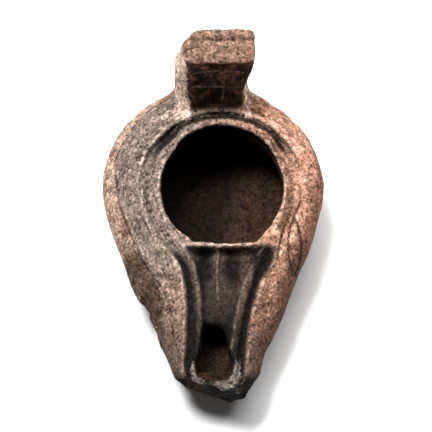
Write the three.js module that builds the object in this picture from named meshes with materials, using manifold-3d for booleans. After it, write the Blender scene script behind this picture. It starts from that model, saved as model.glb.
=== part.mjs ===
// A mould-made Roman oil lamp in one piece of fired clay: a round bowl that tapers to a nozzle, a wide
// filling hole inside a sunk rim, an open channel that runs to the wick hole, and an upright tongue handle.
//
// Millimetres, +Z up. The origin is the centre of the flat base, the nozzle points along -Y and the handle
// stands at +Y. Every outline is written as a loop: "turn" runs once round the lamp, from the middle of the
// back (0) down the +X side to the tip of the nozzle (0.5) and back up the -X side.
import * as THREE from "three";
import { mergeVertices } from "three/addons/utils/BufferGeometryUtils.js";
import Module from "manifold-3d";

const wasm = await Module();
wasm.setup();

// ---------------------------------------------------------------- driving dimensions

const WALL = 4; // thickness of the fired clay
const TURNS = 96; // facets round the lamp

const BOWL = { radius: 32, centreX: -0.2, centreY: 3.8 }; // round back half of the plan
const TAPER = { bend: 6, slope: 0.458 }; // flanks that run from the bowl to the nozzle
const SPREAD = { fromY: -46, toY: -56, width: 0.8, shift: 0.25 }; // the nozzle widens again at its end
const NOSE = { startY: -57, length: 10, squareness: 2.4 }; // blunt end of the nozzle, before it broke
const HOLLOW_NOSE = { startY: -51, length: 3.2, squareness: 3 }; // blunt end of the oil space inside it
const BASE = { halfWidth: 14, halfLength: 18, chamfer: 0.8 };
const SEAM = { height: 16, noseDrop: 1.5 }; // widest line, where the two halves of the mould met
const CREST = { height: 27, backY: 20, fall: 0.001 }; // ridge round the sunk rim, lower towards the nozzle
const KEYHOLE = { centreX: 2.3, centreY: -1.2, radius: 21, frontReach: 23.5 }; // groove inside the crest
const CHANNEL = { midX: -1.2, midY: -55, lean: 0.115, halfWidth: 6.4 }; // the keyhole's narrow part
const FLARE = { width: 10.5, startY: -16, fade: 10.6, blend: 2.5 }; // where the two parts run together
const CHANNEL_END = { startY: -52, length: 6.6, squareness: 3 };
const RIDGE = { outside: 1.6, backStep: 0.8, inside: 2.5, halfWidth: 1.25, grooveDepth: 1.7, backSink: 2.2 };
const HOLE = { centreX: 2.4, centreY: 0.1, radius: 17.4, backReach: 18.4, frontReach: 20.6 };
const BACK_OF_RIM = { fromY: 0, toY: 15 }; // where the rim turns from a level side into its stepped back
const CROSS_RIDGE = { y: -18.7, fromX: -8.4, toX: 14.6, thickness: 2.2, rise: 0.5 };
const RIB = { x: 0.6, fromY: -19, toY: -40, width: 1.2, rise: 0.9 };
const TROUGH = { depth: 3.1, poleDrop: 2.4 }; // floor of the channel under its ridges
const HOLLOW = { floorRise: 0.3, roofRise: 0.9, poleRise: 0.4 }; // clay left thicker below, thinner above
const WICK = { x: -0.6, topY: -48, topHalf: [4.3, 8.6], lowY: -45.5, lowHalf: [3.4, 5], lowZ: 9.5 };
const HANDLE = { centreX: 1.5, left: 8, right: 6.8, squareness: 5 }; // reach to each side at its front
const HANDLE_BACK = { fromY: 23, toY: 31, left: 2.1, right: 1 }; // how much wider it is behind
const HANDLE_ROOT = { topZ: 33, lowZ: 24, left: 2, right: 2.6 }; // how much it spreads at the bowl
const HANDLE_SWELL = { z: 34, reach: 9, left: 2.7 }; // bulge of its -X side
const HANDLE_TOP = { lowZ: 30, topZ: 46, right: 2.7 }; // how far its +X side leans out
const HANDLE_GROOVE = { y: 33.3, z: 48.2, size: 1.5 }; // worn line across its top
// Level sections of the handle, root to top: height, front, back, and how far the edge is rounded in.
const HANDLE_LEVELS = [
  { z: 15, front: 25, back: 33.5, inset: 0 },
  { z: 21, front: 21.9, back: 36.3, inset: 0 },
  { z: 25, front: 22.5, back: 37.3, inset: 0 },
  { z: 28.5, front: 23.1, back: 37.9, inset: 0 },
  { z: 32, front: 23.6, back: 38.4, inset: 0 },
  { z: 36, front: 24.2, back: 38.7, inset: 0 },
  { z: 40, front: 24.9, back: 38.7, inset: 0 },
  { z: 43.5, front: 25.5, back: 38.5, inset: 0 },
  { z: 46, front: 26, back: 38.3, inset: 0.15 },
  { z: 47.4, front: 26.3, back: 38.2, inset: 0.8 },
  { z: 48.1, front: 26.6, back: 38.2, inset: 2 },
];

// ---------------------------------------------------------------- plan curves

const BACK_SHARE = 0.42; // share of a half turn that the round back takes
const FLANK_SHARE = 0.84; // where the blunt end of the nozzle begins

/** Splits a turn into a side (+1 or -1) and how far it has come from the back to the tip, 0 to 1. */
function sideAndReach(turn) {
  const side = turn <= 0.5 ? 1 : -1;
  return { side, reach: 1 - Math.abs(1 - 2 * turn) };
}

/** How far the nozzle has begun to widen again at a place along the lamp, 0 to 1. */
const spreadAt = (y) => THREE.MathUtils.smoothstep(-y, -SPREAD.fromY, -SPREAD.toY);

/** Half the width of the lamp at a place along it, in front of the round back. */
function flankHalfWidth(y) {
  const ahead = BOWL.centreY - y;
  const tapered = BOWL.radius + TAPER.bend - Math.hypot(TAPER.bend, TAPER.slope * ahead);
  return tapered + SPREAD.width * spreadAt(y);
}

/** The middle of the lamp, which swings a little to the +X side at the nozzle's end. */
const flankMiddle = (y) => BOWL.centreX + SPREAD.shift * spreadAt(y);

/** The X of the keyhole-shaped groove in front of the rim's centre: half an ellipse, then the channel. */
function keyholeX(y, side, outward) {
  const ahead = THREE.MathUtils.clamp((KEYHOLE.centreY - y) / (KEYHOLE.frontReach + outward), 0, 1);
  const rim = (KEYHOLE.radius + outward) * Math.sqrt(1 - ahead * ahead);
  const flare = FLARE.width * Math.exp((Math.min(y, FLARE.startY) - FLARE.startY) / FLARE.fade);
  const channel = CHANNEL.halfWidth + flare + outward;
  const halfWidth = (rim + channel + Math.hypot(rim - channel, FLARE.blend * ahead)) / 2;
  const middle = Math.min(KEYHOLE.centreX, CHANNEL.midX + CHANNEL.lean * (y - CHANNEL.midY));
  return middle + side * halfWidth;
}

/** Walks a closed plan curve: an arc at the back, then a flank given by its X, then a blunt end. */
function walk(turn, arc, flankX, end) {
  const { side, reach } = sideAndReach(turn);
  if (reach < BACK_SHARE) {
    const angle = (Math.PI / 2) * (1 - reach / BACK_SHARE);
    const x = arc.centreX + side * arc.radius * Math.cos(angle);
    return new THREE.Vector2(x, arc.centreY + arc.radius * Math.sin(angle));
  }
  if (reach < FLANK_SHARE) {
    const along = (reach - BACK_SHARE) / (FLANK_SHARE - BACK_SHARE);
    const y = THREE.MathUtils.lerp(arc.centreY, end.startY, along);
    return new THREE.Vector2(flankX(y, side), y);
  }
  const angle = (Math.PI / 2) * ((reach - FLANK_SHARE) / (1 - FLANK_SHARE));
  const power = 2 / end.squareness;
  const left = flankX(end.startY, -1);
  const right = flankX(end.startY, 1);
  const across = Math.max(Math.cos(angle), 0) ** power * side * 0.5 * (right - left);
  const y = end.startY - end.length * Math.sin(angle) ** power;
  return new THREE.Vector2(0.5 * (left + right) + across, y);
}

/** The outline of the lamp seen from above, moved inwards by inset. */
function outline(turn, inset = 0, end = NOSE) {
  const arc = { ...BOWL, radius: BOWL.radius - inset };
  return walk(turn, arc, (y, side) => flankMiddle(y) + side * (flankHalfWidth(y) - inset), end);
}

/** The keyhole-shaped groove round the filling hole and the channel, moved outwards. */
function keyhole(turn, outward = 0) {
  const arc = { ...KEYHOLE, radius: KEYHOLE.radius + outward };
  const end = { ...CHANNEL_END, length: CHANNEL_END.length + outward * 0.6 };
  return walk(turn, arc, (y, side) => keyholeX(y, side, outward), end);
}

const atBackOfRim = (y) => THREE.MathUtils.smoothstep(y, BACK_OF_RIM.fromY, BACK_OF_RIM.toY);

/** The keyhole moved outwards a little more at the back, where the crest stands against the handle. */
function crestLine(turn, outward) {
  const { y } = keyhole(turn, outward);
  return keyhole(turn, outward + RIDGE.backStep * atBackOfRim(y));
}

/** The oval base, walked with the same turns as the outline. */
function baseOval(turn, halfWidth, halfLength) {
  const { side, reach } = sideAndReach(turn);
  const angle = Math.PI * reach;
  return new THREE.Vector2(side * halfWidth * Math.sin(angle), halfLength * Math.cos(angle));
}

const seamZ = (y) => SEAM.height - SEAM.noseDrop * THREE.MathUtils.smoothstep(-y, 10, 60);
const crestZ = (y) => CREST.height - CREST.fall * (CREST.backY - y) ** 2;
/** How far the lip of the filling hole lies below the crest: sunk at the back, level in front. */
const lipSink = (y) => RIDGE.backSink * THREE.MathUtils.smoothstep(y, -16, 12);

// ---------------------------------------------------------------- solids

/** A three.js geometry as a manifold solid. */
function solid(geometry) {
  const bare = geometry.index ? geometry.toNonIndexed() : geometry.clone();
  bare.deleteAttribute("normal");
  bare.deleteAttribute("uv");
  const merged = mergeVertices(bare, 1e-4);
  const corners = merged.index.array;
  const kept = [];
  for (let i = 0; i < corners.length; i += 3) {
    const [a, b, c] = corners.slice(i, i + 3);
    if (a !== b && b !== c && c !== a) kept.push(a, b, c);
  }
  return new wasm.Manifold(
    new wasm.Mesh({
      numProp: 3,
      vertProperties: merged.attributes.position.array,
      triVerts: new Uint32Array(kept),
    }),
  );
}

/** A lathe pulled out of round: place(ring, turn) says where each of its points goes. The lathe winds
 *  against the clock seen from above and turns run with it, so the turns are counted backwards. */
function loft(rings, turns, place, hollow = false) {
  const profile = Array.from({ length: rings + (hollow ? 1 : 0) }, (_, i) => new THREE.Vector2(1, i));
  const lathe = new THREE.LatheGeometry(profile, turns);
  const points = lathe.attributes.position;
  for (let t = 0; t <= turns; t++)
    for (let r = 0; r < profile.length; r++) {
      const p = place(r % rings, ((turns - t) % turns) / turns);
      points.setXYZ(t * profile.length + r, p.x, p.y, p.z);
    }
  return solid(lathe);
}

const lifted = (flat, z) => new THREE.Vector3(flat.x, flat.y, z);
const between = (from, to, share) => from.clone().lerp(to, share);

/** Height of the under side: 1 at the seam, falling as a bowl does to 0 at the base. */
const bowlFall = (share) => 1 - Math.sqrt(1 - (1 - share) ** 1.5);
/** Rise of the shoulder: steep at the seam, easing to 1 at the crest. */
const shoulderRise = (share) => Math.sqrt(1 - (1 - share) ** 1.7);

/** The lamp filled in: base, bowl, seam, shoulder, crest, groove and the floor of the channel. */
function outerForm() {
  const underShares = [0.92, 0.78, 0.6, 0.42, 0.26, 0.13, 0.04, 0];
  const shoulderShares = [0.03, 0.1, 0.22, 0.38, 0.56, 0.76, 1];
  const rings = [
    () => new THREE.Vector3(0, 0, 0),
    (turn) => lifted(baseOval(turn, BASE.halfWidth, BASE.halfLength), 0),
    ...underShares.map((share) => (turn) => {
      const rim = outline(turn);
      const foot = baseOval(turn, BASE.halfWidth + BASE.chamfer, BASE.halfLength + BASE.chamfer);
      const z = BASE.chamfer + (seamZ(rim.y) - BASE.chamfer) * bowlFall(share);
      return lifted(between(rim, foot, share), z);
    }),
    ...shoulderShares.map((share) => (turn) => {
      const rim = outline(turn);
      const crest = crestLine(turn, RIDGE.outside);
      const rise = (crestZ(crest.y) - seamZ(rim.y)) * shoulderRise(share);
      return lifted(between(rim, crest, share), seamZ(rim.y) + rise);
    }),
    (turn) => {
      const groove = crestLine(turn, 0.5);
      return lifted(groove, crestZ(groove.y) - RIDGE.grooveDepth - 0.5 * lipSink(groove.y));
    },
    (turn) => {
      const shelf = keyhole(turn, -RIDGE.inside - RIDGE.halfWidth);
      return lifted(shelf, crestZ(shelf.y) - TROUGH.depth);
    },
    () => new THREE.Vector3(HOLE.centreX, HOLE.centreY, crestZ(HOLE.centreY) - TROUGH.poleDrop),
  ];
  return loft(rings.length, TURNS, (ring, turn) => rings[ring](turn));
}

/** The hollow that holds the oil, from the back of the bowl to the nozzle. */
function innerForm() {
  const shares = [0.95, 0.7, 0.45, 0.22, 0.06, 0];
  const floorZ = WALL + HOLLOW.floorRise;
  const wallLine = (turn) => outline(turn, WALL, HOLLOW_NOSE);
  const footLine = (turn) => baseOval(turn, BASE.halfWidth - 2, BASE.halfLength - 2);
  const roofLine = (turn) => keyhole(turn, -1.5);
  const rings = [
    () => new THREE.Vector3(0, 0, floorZ),
    ...shares.map((share) => (turn) => {
      const wall = wallLine(turn);
      const rise = (seamZ(wall.y) - floorZ) * bowlFall(share);
      return lifted(between(wall, footLine(turn), share), floorZ + rise);
    }),
    ...[0.08, 0.3, 0.6, 1].map((share) => (turn) => {
      const wall = wallLine(turn);
      const roof = roofLine(turn);
      const rise = crestZ(roof.y) - WALL - TROUGH.depth + HOLLOW.roofRise - seamZ(wall.y);
      return lifted(between(wall, roof, share), seamZ(wall.y) + rise * shoulderRise(share));
    }),
    () => {
      const roofZ = crestZ(HOLE.centreY) - WALL - TROUGH.poleDrop + HOLLOW.poleRise;
      return new THREE.Vector3(HOLE.centreX, HOLE.centreY, roofZ);
    },
  ];
  return loft(rings.length, TURNS / 2, (ring, turn) => rings[ring](turn));
}

/** The raised lip that follows the inside of the keyhole groove. */
function lipRidge() {
  const section = [
    [-1, -3],
    [1, -3],
    [1, -0.8],
    [0.45, -0.1],
    [-0.45, -0.1],
    [-1, -0.8],
  ];
  const place = (ring, turn) => {
    const [across, up] = section[ring];
    const spot = keyhole(turn, -RIDGE.inside + across * RIDGE.halfWidth);
    return lifted(spot, crestZ(spot.y) - lipSink(spot.y) + up);
  };
  return loft(section.length, TURNS, place, true);
}

/** A straight bar with a roof-shaped top, from one point on the deck to another. */
function deckBar(from, to, width, topWidth, rise, depth) {
  const along = to.clone().sub(from);
  const half = width / 2;
  const section = new THREE.Shape([
    new THREE.Vector2(-half, -depth),
    new THREE.Vector2(half, -depth),
    new THREE.Vector2(half, rise - 1),
    new THREE.Vector2(topWidth / 2, rise),
    new THREE.Vector2(-topWidth / 2, rise),
    new THREE.Vector2(-half, rise - 1),
  ]);
  const bar = new THREE.ExtrudeGeometry(section, { depth: along.length(), bevelEnabled: false });
  const side = new THREE.Vector3().crossVectors(new THREE.Vector3(0, 0, 1), along).normalize();
  const up = new THREE.Vector3().crossVectors(along, side).normalize();
  bar.applyMatrix4(new THREE.Matrix4().makeBasis(side, up, along.clone().normalize()));
  return solid(bar.translate(from.x, from.y, from.z));
}

function crossRidge() {
  const { fromX, toX, y, thickness, rise } = CROSS_RIDGE;
  const z = crestZ(y);
  const ends = [new THREE.Vector3(fromX, y, z), new THREE.Vector3(toX, y, z)];
  return deckBar(...ends, thickness, 0.8, rise, 4);
}

function channelRib() {
  const floor = (y) => crestZ(y) - TROUGH.depth + 0.2;
  const ends = [RIB.fromY, RIB.toY].map((y) => new THREE.Vector3(RIB.x, y, floor(y)));
  return deckBar(...ends, RIB.width, 0.5, RIB.rise, 1.5);
}

/** The filling hole: round behind, drawn out in front and cut straight by the cross ridge. */
function fillingHole() {
  const cutY = CROSS_RIDGE.y + CROSS_RIDGE.thickness / 2;
  const steps = 56;
  const shape = new THREE.Shape();
  for (let i = 0; i < steps; i++) {
    const angle = (2 * Math.PI * i) / steps;
    const reach = Math.sin(angle) < 0 ? HOLE.frontReach : HOLE.backReach;
    const y = Math.max(HOLE.centreY + reach * Math.sin(angle), cutY);
    shape[i ? "lineTo" : "moveTo"](HOLE.centreX + HOLE.radius * Math.cos(angle), y);
  }
  const prism = new THREE.ExtrudeGeometry(shape, { depth: 20, bevelEnabled: false });
  return solid(prism.translate(0, 0, SEAM.height - 2));
}

/** The wick hole: a long oval that narrows on its way down into the nozzle. */
function wickHole() {
  const topZ = CREST.height;
  const mouthZ = crestZ(WICK.topY) - TROUGH.depth;
  const oval = (turn, midY, half, z) => {
    const angle = 2 * Math.PI * turn;
    return new THREE.Vector3(WICK.x + half[0] * Math.sin(angle), midY + half[1] * Math.cos(angle), z);
  };
  const rings = [
    () => new THREE.Vector3(WICK.x, WICK.lowY, WICK.lowZ),
    (turn) => oval(turn, WICK.lowY, WICK.lowHalf, WICK.lowZ),
    (turn) => oval(turn, WICK.topY, WICK.topHalf, mouthZ),
    (turn) => oval(turn, WICK.topY, WICK.topHalf, topZ),
    () => new THREE.Vector3(WICK.x, WICK.topY, topZ),
  ];
  return loft(rings.length, 28, (ring, turn) => rings[ring](turn));
}

/** How far the handle reaches to one side (-1 or +1) of its middle. */
function handleReach(side, y, z) {
  const back = THREE.MathUtils.smoothstep(y, HANDLE_BACK.fromY, HANDLE_BACK.toY);
  const root = 1 - THREE.MathUtils.smoothstep(z, HANDLE_ROOT.lowZ, HANDLE_ROOT.topZ);
  const swell = Math.exp(-(((z - HANDLE_SWELL.z) / HANDLE_SWELL.reach) ** 2));
  const lean = THREE.MathUtils.smoothstep(z, HANDLE_TOP.lowZ, HANDLE_TOP.topZ);
  if (side < 0) {
    const behind = HANDLE_BACK.left + HANDLE_SWELL.left * swell;
    return HANDLE.left + back * behind + root * HANDLE_ROOT.left;
  }
  return HANDLE.right + back * HANDLE_BACK.right + lean * HANDLE_TOP.right + root * HANDLE_ROOT.right;
}

/** Rounds a circle's sine or cosine towards a square's. */
const squared = (value) => Math.sign(value) * Math.abs(value) ** (2 / HANDLE.squareness);

/** The tongue handle: level sections that swell on one side and flare where they join the bowl. */
function handle() {
  const middle = ({ front, back, z }) => new THREE.Vector3(HANDLE.centreX, (front + back) / 2, z);
  const edge = ({ front, back, z, inset }, turn) => {
    const across = squared(Math.sin(2 * Math.PI * turn));
    const along = squared(Math.cos(2 * Math.PI * turn));
    const y = (front + back) / 2 + along * ((back - front) / 2 - inset);
    return new THREE.Vector3(HANDLE.centreX + across * (handleReach(across, y, z) - inset), y, z);
  };
  const rings = [
    () => middle(HANDLE_LEVELS[0]),
    ...HANDLE_LEVELS.map((level) => (turn) => edge(level, turn)),
    () => middle(HANDLE_LEVELS.at(-1)),
  ];
  return loft(rings.length, 40, (ring, turn) => rings[ring](turn));
}

/** A small block of clay to take away, as a box with its own place and turn. */
function block(size, place, turn) {
  const box = new THREE.BoxGeometry(...size);
  box.applyMatrix4(new THREE.Matrix4().makeRotationFromEuler(new THREE.Euler(...turn)));
  return solid(box.translate(...place));
}

/** The worn line across the top of the handle. */
function handleGroove() {
  const { y, z, size } = HANDLE_GROOVE;
  return block([30, size, size], [HANDLE.centreX, y, z], [Math.PI / 4, 0, 0]);
}

/** The chip in the -X flank of the nozzle. */
const flankChip = () => block([6, 4.4, 9], [-21.6, -33.6, 12.5], [0, 0.2, 0.38]);

// Faces along which clay has broken away. The clay that is left lies on the side that "keeps" points to.
const BREAKS = [
  { keeps: [0.373, 0.928, 0.21], through: [-5.6, -55.8, 9] }, // -X half of the nozzle's end
  { keeps: [0, 1, -0.06], through: [3.5, -61.6, 8] }, // its +X half
  { keeps: [-0.852, 0.523, 0], through: [11.3, -55, 15] }, // its +X corner
  { keeps: [0.64, -0.77, -0.16], through: [-5, 37.4, 48] }, // worn corner of the handle
];

/** The whole lamp as one solid. */
function lampSolid() {
  let lamp = outerForm().add(handle()).add(lipRidge()).add(crossRidge()).add(channelRib());
  const hollows = [innerForm(), fillingHole(), wickHole(), handleGroove(), flankChip()];
  for (const gone of hollows) lamp = lamp.subtract(gone);
  for (const { keeps, through } of BREAKS) {
    const direction = new THREE.Vector3(...keeps).normalize();
    lamp = lamp.trimByPlane(direction.toArray(), direction.dot(new THREE.Vector3(...through)));
  }
  return lamp;
}

/** A manifold solid as a three.js geometry. */
function geometryOf(made) {
  const mesh = made.getMesh();
  const geometry = new THREE.BufferGeometry();
  geometry.setAttribute("position", new THREE.BufferAttribute(mesh.vertProperties, 3));
  geometry.setIndex(new THREE.BufferAttribute(mesh.triVerts, 1));
  geometry.computeVertexNormals();
  return geometry;
}

const firedClay = new THREE.MeshStandardMaterial({ color: 0x9f8070, roughness: 0.92, metalness: 0 });

const lamp = new THREE.Group();
const body = new THREE.Mesh(geometryOf(lampSolid()), firedClay);
body.name = "lamp";
lamp.add(body);

export default lamp;
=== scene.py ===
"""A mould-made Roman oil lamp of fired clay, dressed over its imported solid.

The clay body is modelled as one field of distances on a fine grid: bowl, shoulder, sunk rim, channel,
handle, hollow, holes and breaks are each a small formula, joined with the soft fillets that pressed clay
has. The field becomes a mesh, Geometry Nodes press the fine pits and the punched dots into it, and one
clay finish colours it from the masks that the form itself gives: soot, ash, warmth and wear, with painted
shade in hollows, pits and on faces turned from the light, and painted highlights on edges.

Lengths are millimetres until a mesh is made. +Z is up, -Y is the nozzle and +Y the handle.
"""

import logging
import math
from collections.abc import Callable, Sequence
from dataclasses import dataclass, field
from enum import Enum, IntEnum

import bmesh
import bpy
import numpy as np
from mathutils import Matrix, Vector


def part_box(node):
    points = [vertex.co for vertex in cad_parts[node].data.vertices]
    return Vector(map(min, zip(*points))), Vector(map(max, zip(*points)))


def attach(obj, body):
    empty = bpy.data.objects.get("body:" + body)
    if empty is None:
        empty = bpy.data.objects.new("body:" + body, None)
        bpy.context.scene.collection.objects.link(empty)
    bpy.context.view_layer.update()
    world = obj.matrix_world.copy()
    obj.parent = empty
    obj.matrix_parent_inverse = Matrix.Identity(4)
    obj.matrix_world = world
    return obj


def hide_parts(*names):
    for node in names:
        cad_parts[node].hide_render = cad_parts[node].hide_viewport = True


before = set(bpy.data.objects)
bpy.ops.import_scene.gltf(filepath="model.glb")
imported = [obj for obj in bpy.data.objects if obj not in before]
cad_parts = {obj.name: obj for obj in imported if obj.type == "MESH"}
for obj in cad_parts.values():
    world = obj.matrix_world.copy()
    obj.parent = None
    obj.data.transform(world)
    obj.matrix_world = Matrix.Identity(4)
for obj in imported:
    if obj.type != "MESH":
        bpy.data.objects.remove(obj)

import openvdb
from mathutils import Matrix, Vector

log = logging.getLogger("oil_lamp")
MM = 0.001
LAMP_NODE = "lamp"
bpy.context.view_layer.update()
FIELD_REACH = 6.0  # how far from a surface a field still counts
LEAST_SLOPE = 0.02  # a flatter field is not scaled up further
FAR_BELOW = -9.0  # a height that no carving reaches
OFF_LINE = 4.0  # a distance at which no line shows

Array = np.ndarray
Maps = dict[str, np.ndarray]
Tree = bpy.types.NodeTree
Socket = bpy.types.NodeSocket
Pair = tuple[float, float]
Ramp = tuple[str, float, float]  # a measure, where it is 0 and where it is 1
Hump = tuple[str, float, float]  # a measure, its middle and its reach


class Seed(IntEnum):
    """The fixed seed of each random pattern."""

    BORDER_WAVER = 11
    STROKE_WEAR = 12
    STREAK_WAVER = 13
    STREAK_WEAR = 14
    ROUGHNESS = 21
    LUMPS = 22
    GRAIN = 23
    OUTLINE_WAVER = 31


# ---------------------------------------------------------------- small helpers


def linear(colour: str) -> tuple[float, float, float, float]:
    """Turns an sRGB hex colour into the linear colour that shaders read.

    Args:
        colour: Six hex digits, such as "b08a74".

    Returns:
        Red, green, blue and an alpha of 1.
    """
    parts = [int(colour[i : i + 2], 16) / 255 for i in (0, 2, 4)]
    turned = [p / 12.92 if p <= 0.04045 else ((p + 0.055) / 1.055) ** 2.4 for p in parts]
    return (*turned, 1.0)


def add_node(
    tree: Tree,
    kind: str,
    inputs: dict[str | int, object] | None = None,
    **settings: object,
) -> bpy.types.Node:
    """Adds a node with its settings, its values and its links.

    Args:
        tree: The tree that the node goes in.
        kind: The node's Blender type name.
        inputs: For each input socket, by name or place, a value or the output socket that feeds it.
        settings: The node's own properties.

    Returns:
        The new node.
    """
    node = tree.nodes.new(kind)
    for name, value in settings.items():
        setattr(node, name, value)
    for key, value in (inputs or {}).items():
        if isinstance(value, Socket):
            tree.links.new(value, node.inputs[key])
        else:
            node.inputs[key].default_value = value
    return node


def smoothstep(value: Array, start: float, end: float) -> Array:
    """A soft ramp, 0 at start and 1 at end, which falls where end lies below start."""
    t = np.clip((value - start) / (end - start), 0.0, 1.0)
    return t * t * (3 - 2 * t)


def bell(distance: Array, width: float) -> Array:
    """A soft hump, 1 where the distance is 0 and a third at the width."""
    return np.exp(-((distance / width) ** 2))


def union(a: Array, b: Array, fillet: float) -> Array:
    """Joins two distance fields, negative inside, with a fillet."""
    share = np.clip(0.5 + 0.5 * (b - a) / fillet, 0.0, 1.0)
    return b + (a - b) * share - fillet * share * (1 - share)


def cut(a: Array, b: Array, round_over: float) -> Array:
    """Takes field b out of field a, with the edge rounded over."""
    return -union(-a, b, round_over)


def bezier(points: Sequence[Pair], count: int = 12) -> Array:
    """Points along a Bezier curve in the plane.

    Args:
        points: Two to four control points.
        count: How many points to give.

    Returns:
        An array of count rows of two.
    """
    t = np.linspace(0.0, 1.0, count)[:, None]
    order = len(points) - 1
    weights = [math.comb(order, i) * t**i * (1 - t) ** (order - i) for i in range(order + 1)]
    return sum(weight * np.array(point) for weight, point in zip(weights, points))


def path_distance(path: Array, x: Array, y: Array) -> Array:
    """Distance from each place to a path of straight pieces.

    Args:
        path: The path's points.
        x: Places across.
        y: Places along.

    Returns:
        The distances.
    """
    best = np.full(np.broadcast(x, y).shape, np.inf)
    for start, end in zip(path[:-1], path[1:]):
        run = end - start
        along = ((x - start[0]) * run[0] + (y - start[1]) * run[1]) / (run @ run + 1e-12)
        along = np.clip(along, 0.0, 1.0)
        gap = (x - start[0] - along * run[0]) ** 2 + (y - start[1] - along * run[1]) ** 2
        best = np.minimum(best, gap)
    return np.sqrt(best)


def loop_distance(loop: Array, x: Array, y: Array) -> Array:
    """Signed distance from each place to a closed loop.

    Args:
        loop: The loop's points, without the first one repeated.
        x: Places across.
        y: Places along.

    Returns:
        Distances, negative inside the loop.
    """
    closed = np.vstack([loop, loop[:1]])
    inside = np.zeros(np.broadcast(x, y).shape, bool)
    for start, end in zip(closed[:-1], closed[1:]):
        rise = end[1] - start[1]
        if rise == 0:
            continue
        crossing = start[0] + (end[0] - start[0]) * (y - start[1]) / rise
        inside ^= ((start[1] > y) != (end[1] > y)) & (x < crossing)
    return np.where(inside, -1.0, 1.0) * path_distance(closed, x, y)


def largest_part(faces: Array, count: int) -> Array:
    """Keeps the faces of the largest joined part of a mesh, without loose crumbs.

    Args:
        faces: Rows of four corners.
        count: How many corners there are.

    Returns:
        The faces that stay.
    """
    label = np.arange(count)
    while True:
        lowest = label[faces].min(axis=1)
        joined = label.copy()
        for column in faces.T:
            np.minimum.at(joined, column, lowest)
        joined = joined[joined]
        if np.array_equal(joined, label):
            break
        label = joined
    part = label[faces[:, 0]]
    return faces[part == np.bincount(part).argmax()]


# ---------------------------------------------------------------- the grid


@dataclass
class ClayGrid:
    """The block of space that the lamp's field is worked out on.

    Args:
        low: Lowest corner.
        high: Highest corner.
        step: Distance between neighbouring samples.
    """

    low: tuple[float, float, float]
    high: tuple[float, float, float]
    step: float

    def __post_init__(self) -> None:
        """Lays out the samples along each axis."""
        axes = [np.arange(a, b, self.step, dtype=np.float32) for a, b in zip(self.low, self.high)]
        self.axes = axes
        self.x = axes[0][:, None, None]
        self.y = axes[1][None, :, None]
        self.z = axes[2][None, None, :]

    def noise(self, cell: Sequence[float], seed: int) -> Array:
        """Smooth random variation with a spread of about 1.

        Args:
            cell: Size of its lumps along each axis; a third size of 0 makes it the same at every height.
            seed: Fixed seed.

        Returns:
            A field on the whole grid, or one sample high.
        """
        flat = cell[2] == 0
        sizes = [len(a) for a in self.axes]
        weights = [self._spline(i, c) for i, c in enumerate(cell[: 2 if flat else 3])]
        shape = [w.shape[1] for w in weights]
        values = np.random.default_rng(seed).standard_normal(shape).astype(np.float32)
        for axis, weight in enumerate(weights):
            values = np.moveaxis(np.tensordot(weight, values, axes=(1, axis)), 0, axis)
        values = values.reshape(sizes[0], sizes[1], -1)
        return values / values.std()

    def _spline(self, axis: int, cell: float) -> Array:
        """Cubic B-spline weights that carry a coarse row of numbers onto one axis of the grid.

        Args:
            axis: Which axis.
            cell: Distance between the coarse numbers.

        Returns:
            A row of weights for each sample on the axis.
        """
        places = (self.axes[axis] - self.low[axis]) / cell
        whole = np.floor(places).astype(int)
        t = places - whole
        parts = ((1 - t) ** 3, 3 * t**3 - 6 * t**2 + 4, -3 * t**3 + 3 * t**2 + 3 * t + 1, t**3)
        weights = np.zeros((len(places), whole.max() + 4), np.float32)
        for i, part in enumerate(parts):
            weights[np.arange(len(places)), whole + i] = part / 6
        return weights

    def sample(self, plan: Array, points: Array) -> Array:
        """Reads a plan map at points.

        Args:
            plan: A map of the grid's plan.
            points: Rows of x, y, z.

        Returns:
            One value for each point.
        """
        plan = plan.reshape(len(self.axes[0]), len(self.axes[1]))
        place = (points[:, :2] - np.array(self.low[:2])) / self.step
        place = np.clip(place, 0, np.array(plan.shape) - 1.001)
        i, j = place.astype(int).T
        u, v = (place - np.floor(place)).T
        near = plan[i, j] * (1 - v) + plan[i, j + 1] * v
        far = plan[i + 1, j] * (1 - v) + plan[i + 1, j + 1] * v
        return near * (1 - u) + far * u

    def skin(self, values: Array) -> tuple[Array, Array]:
        """Turns a field into its surface.

        Args:
            values: Distances, negative inside.

        Returns:
            Corner points and four-sided faces.
        """
        reach = 4 * self.step
        volume = openvdb.FloatGrid(reach)
        volume.copyFromArray(np.ascontiguousarray(np.clip(values, -reach, reach), np.float32))
        points, faces = volume.convertToQuads(0.0)
        faces = largest_part(faces, len(points))
        return points * self.step + np.array(self.low, np.float32), faces


# ---------------------------------------------------------------- plan curves


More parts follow.
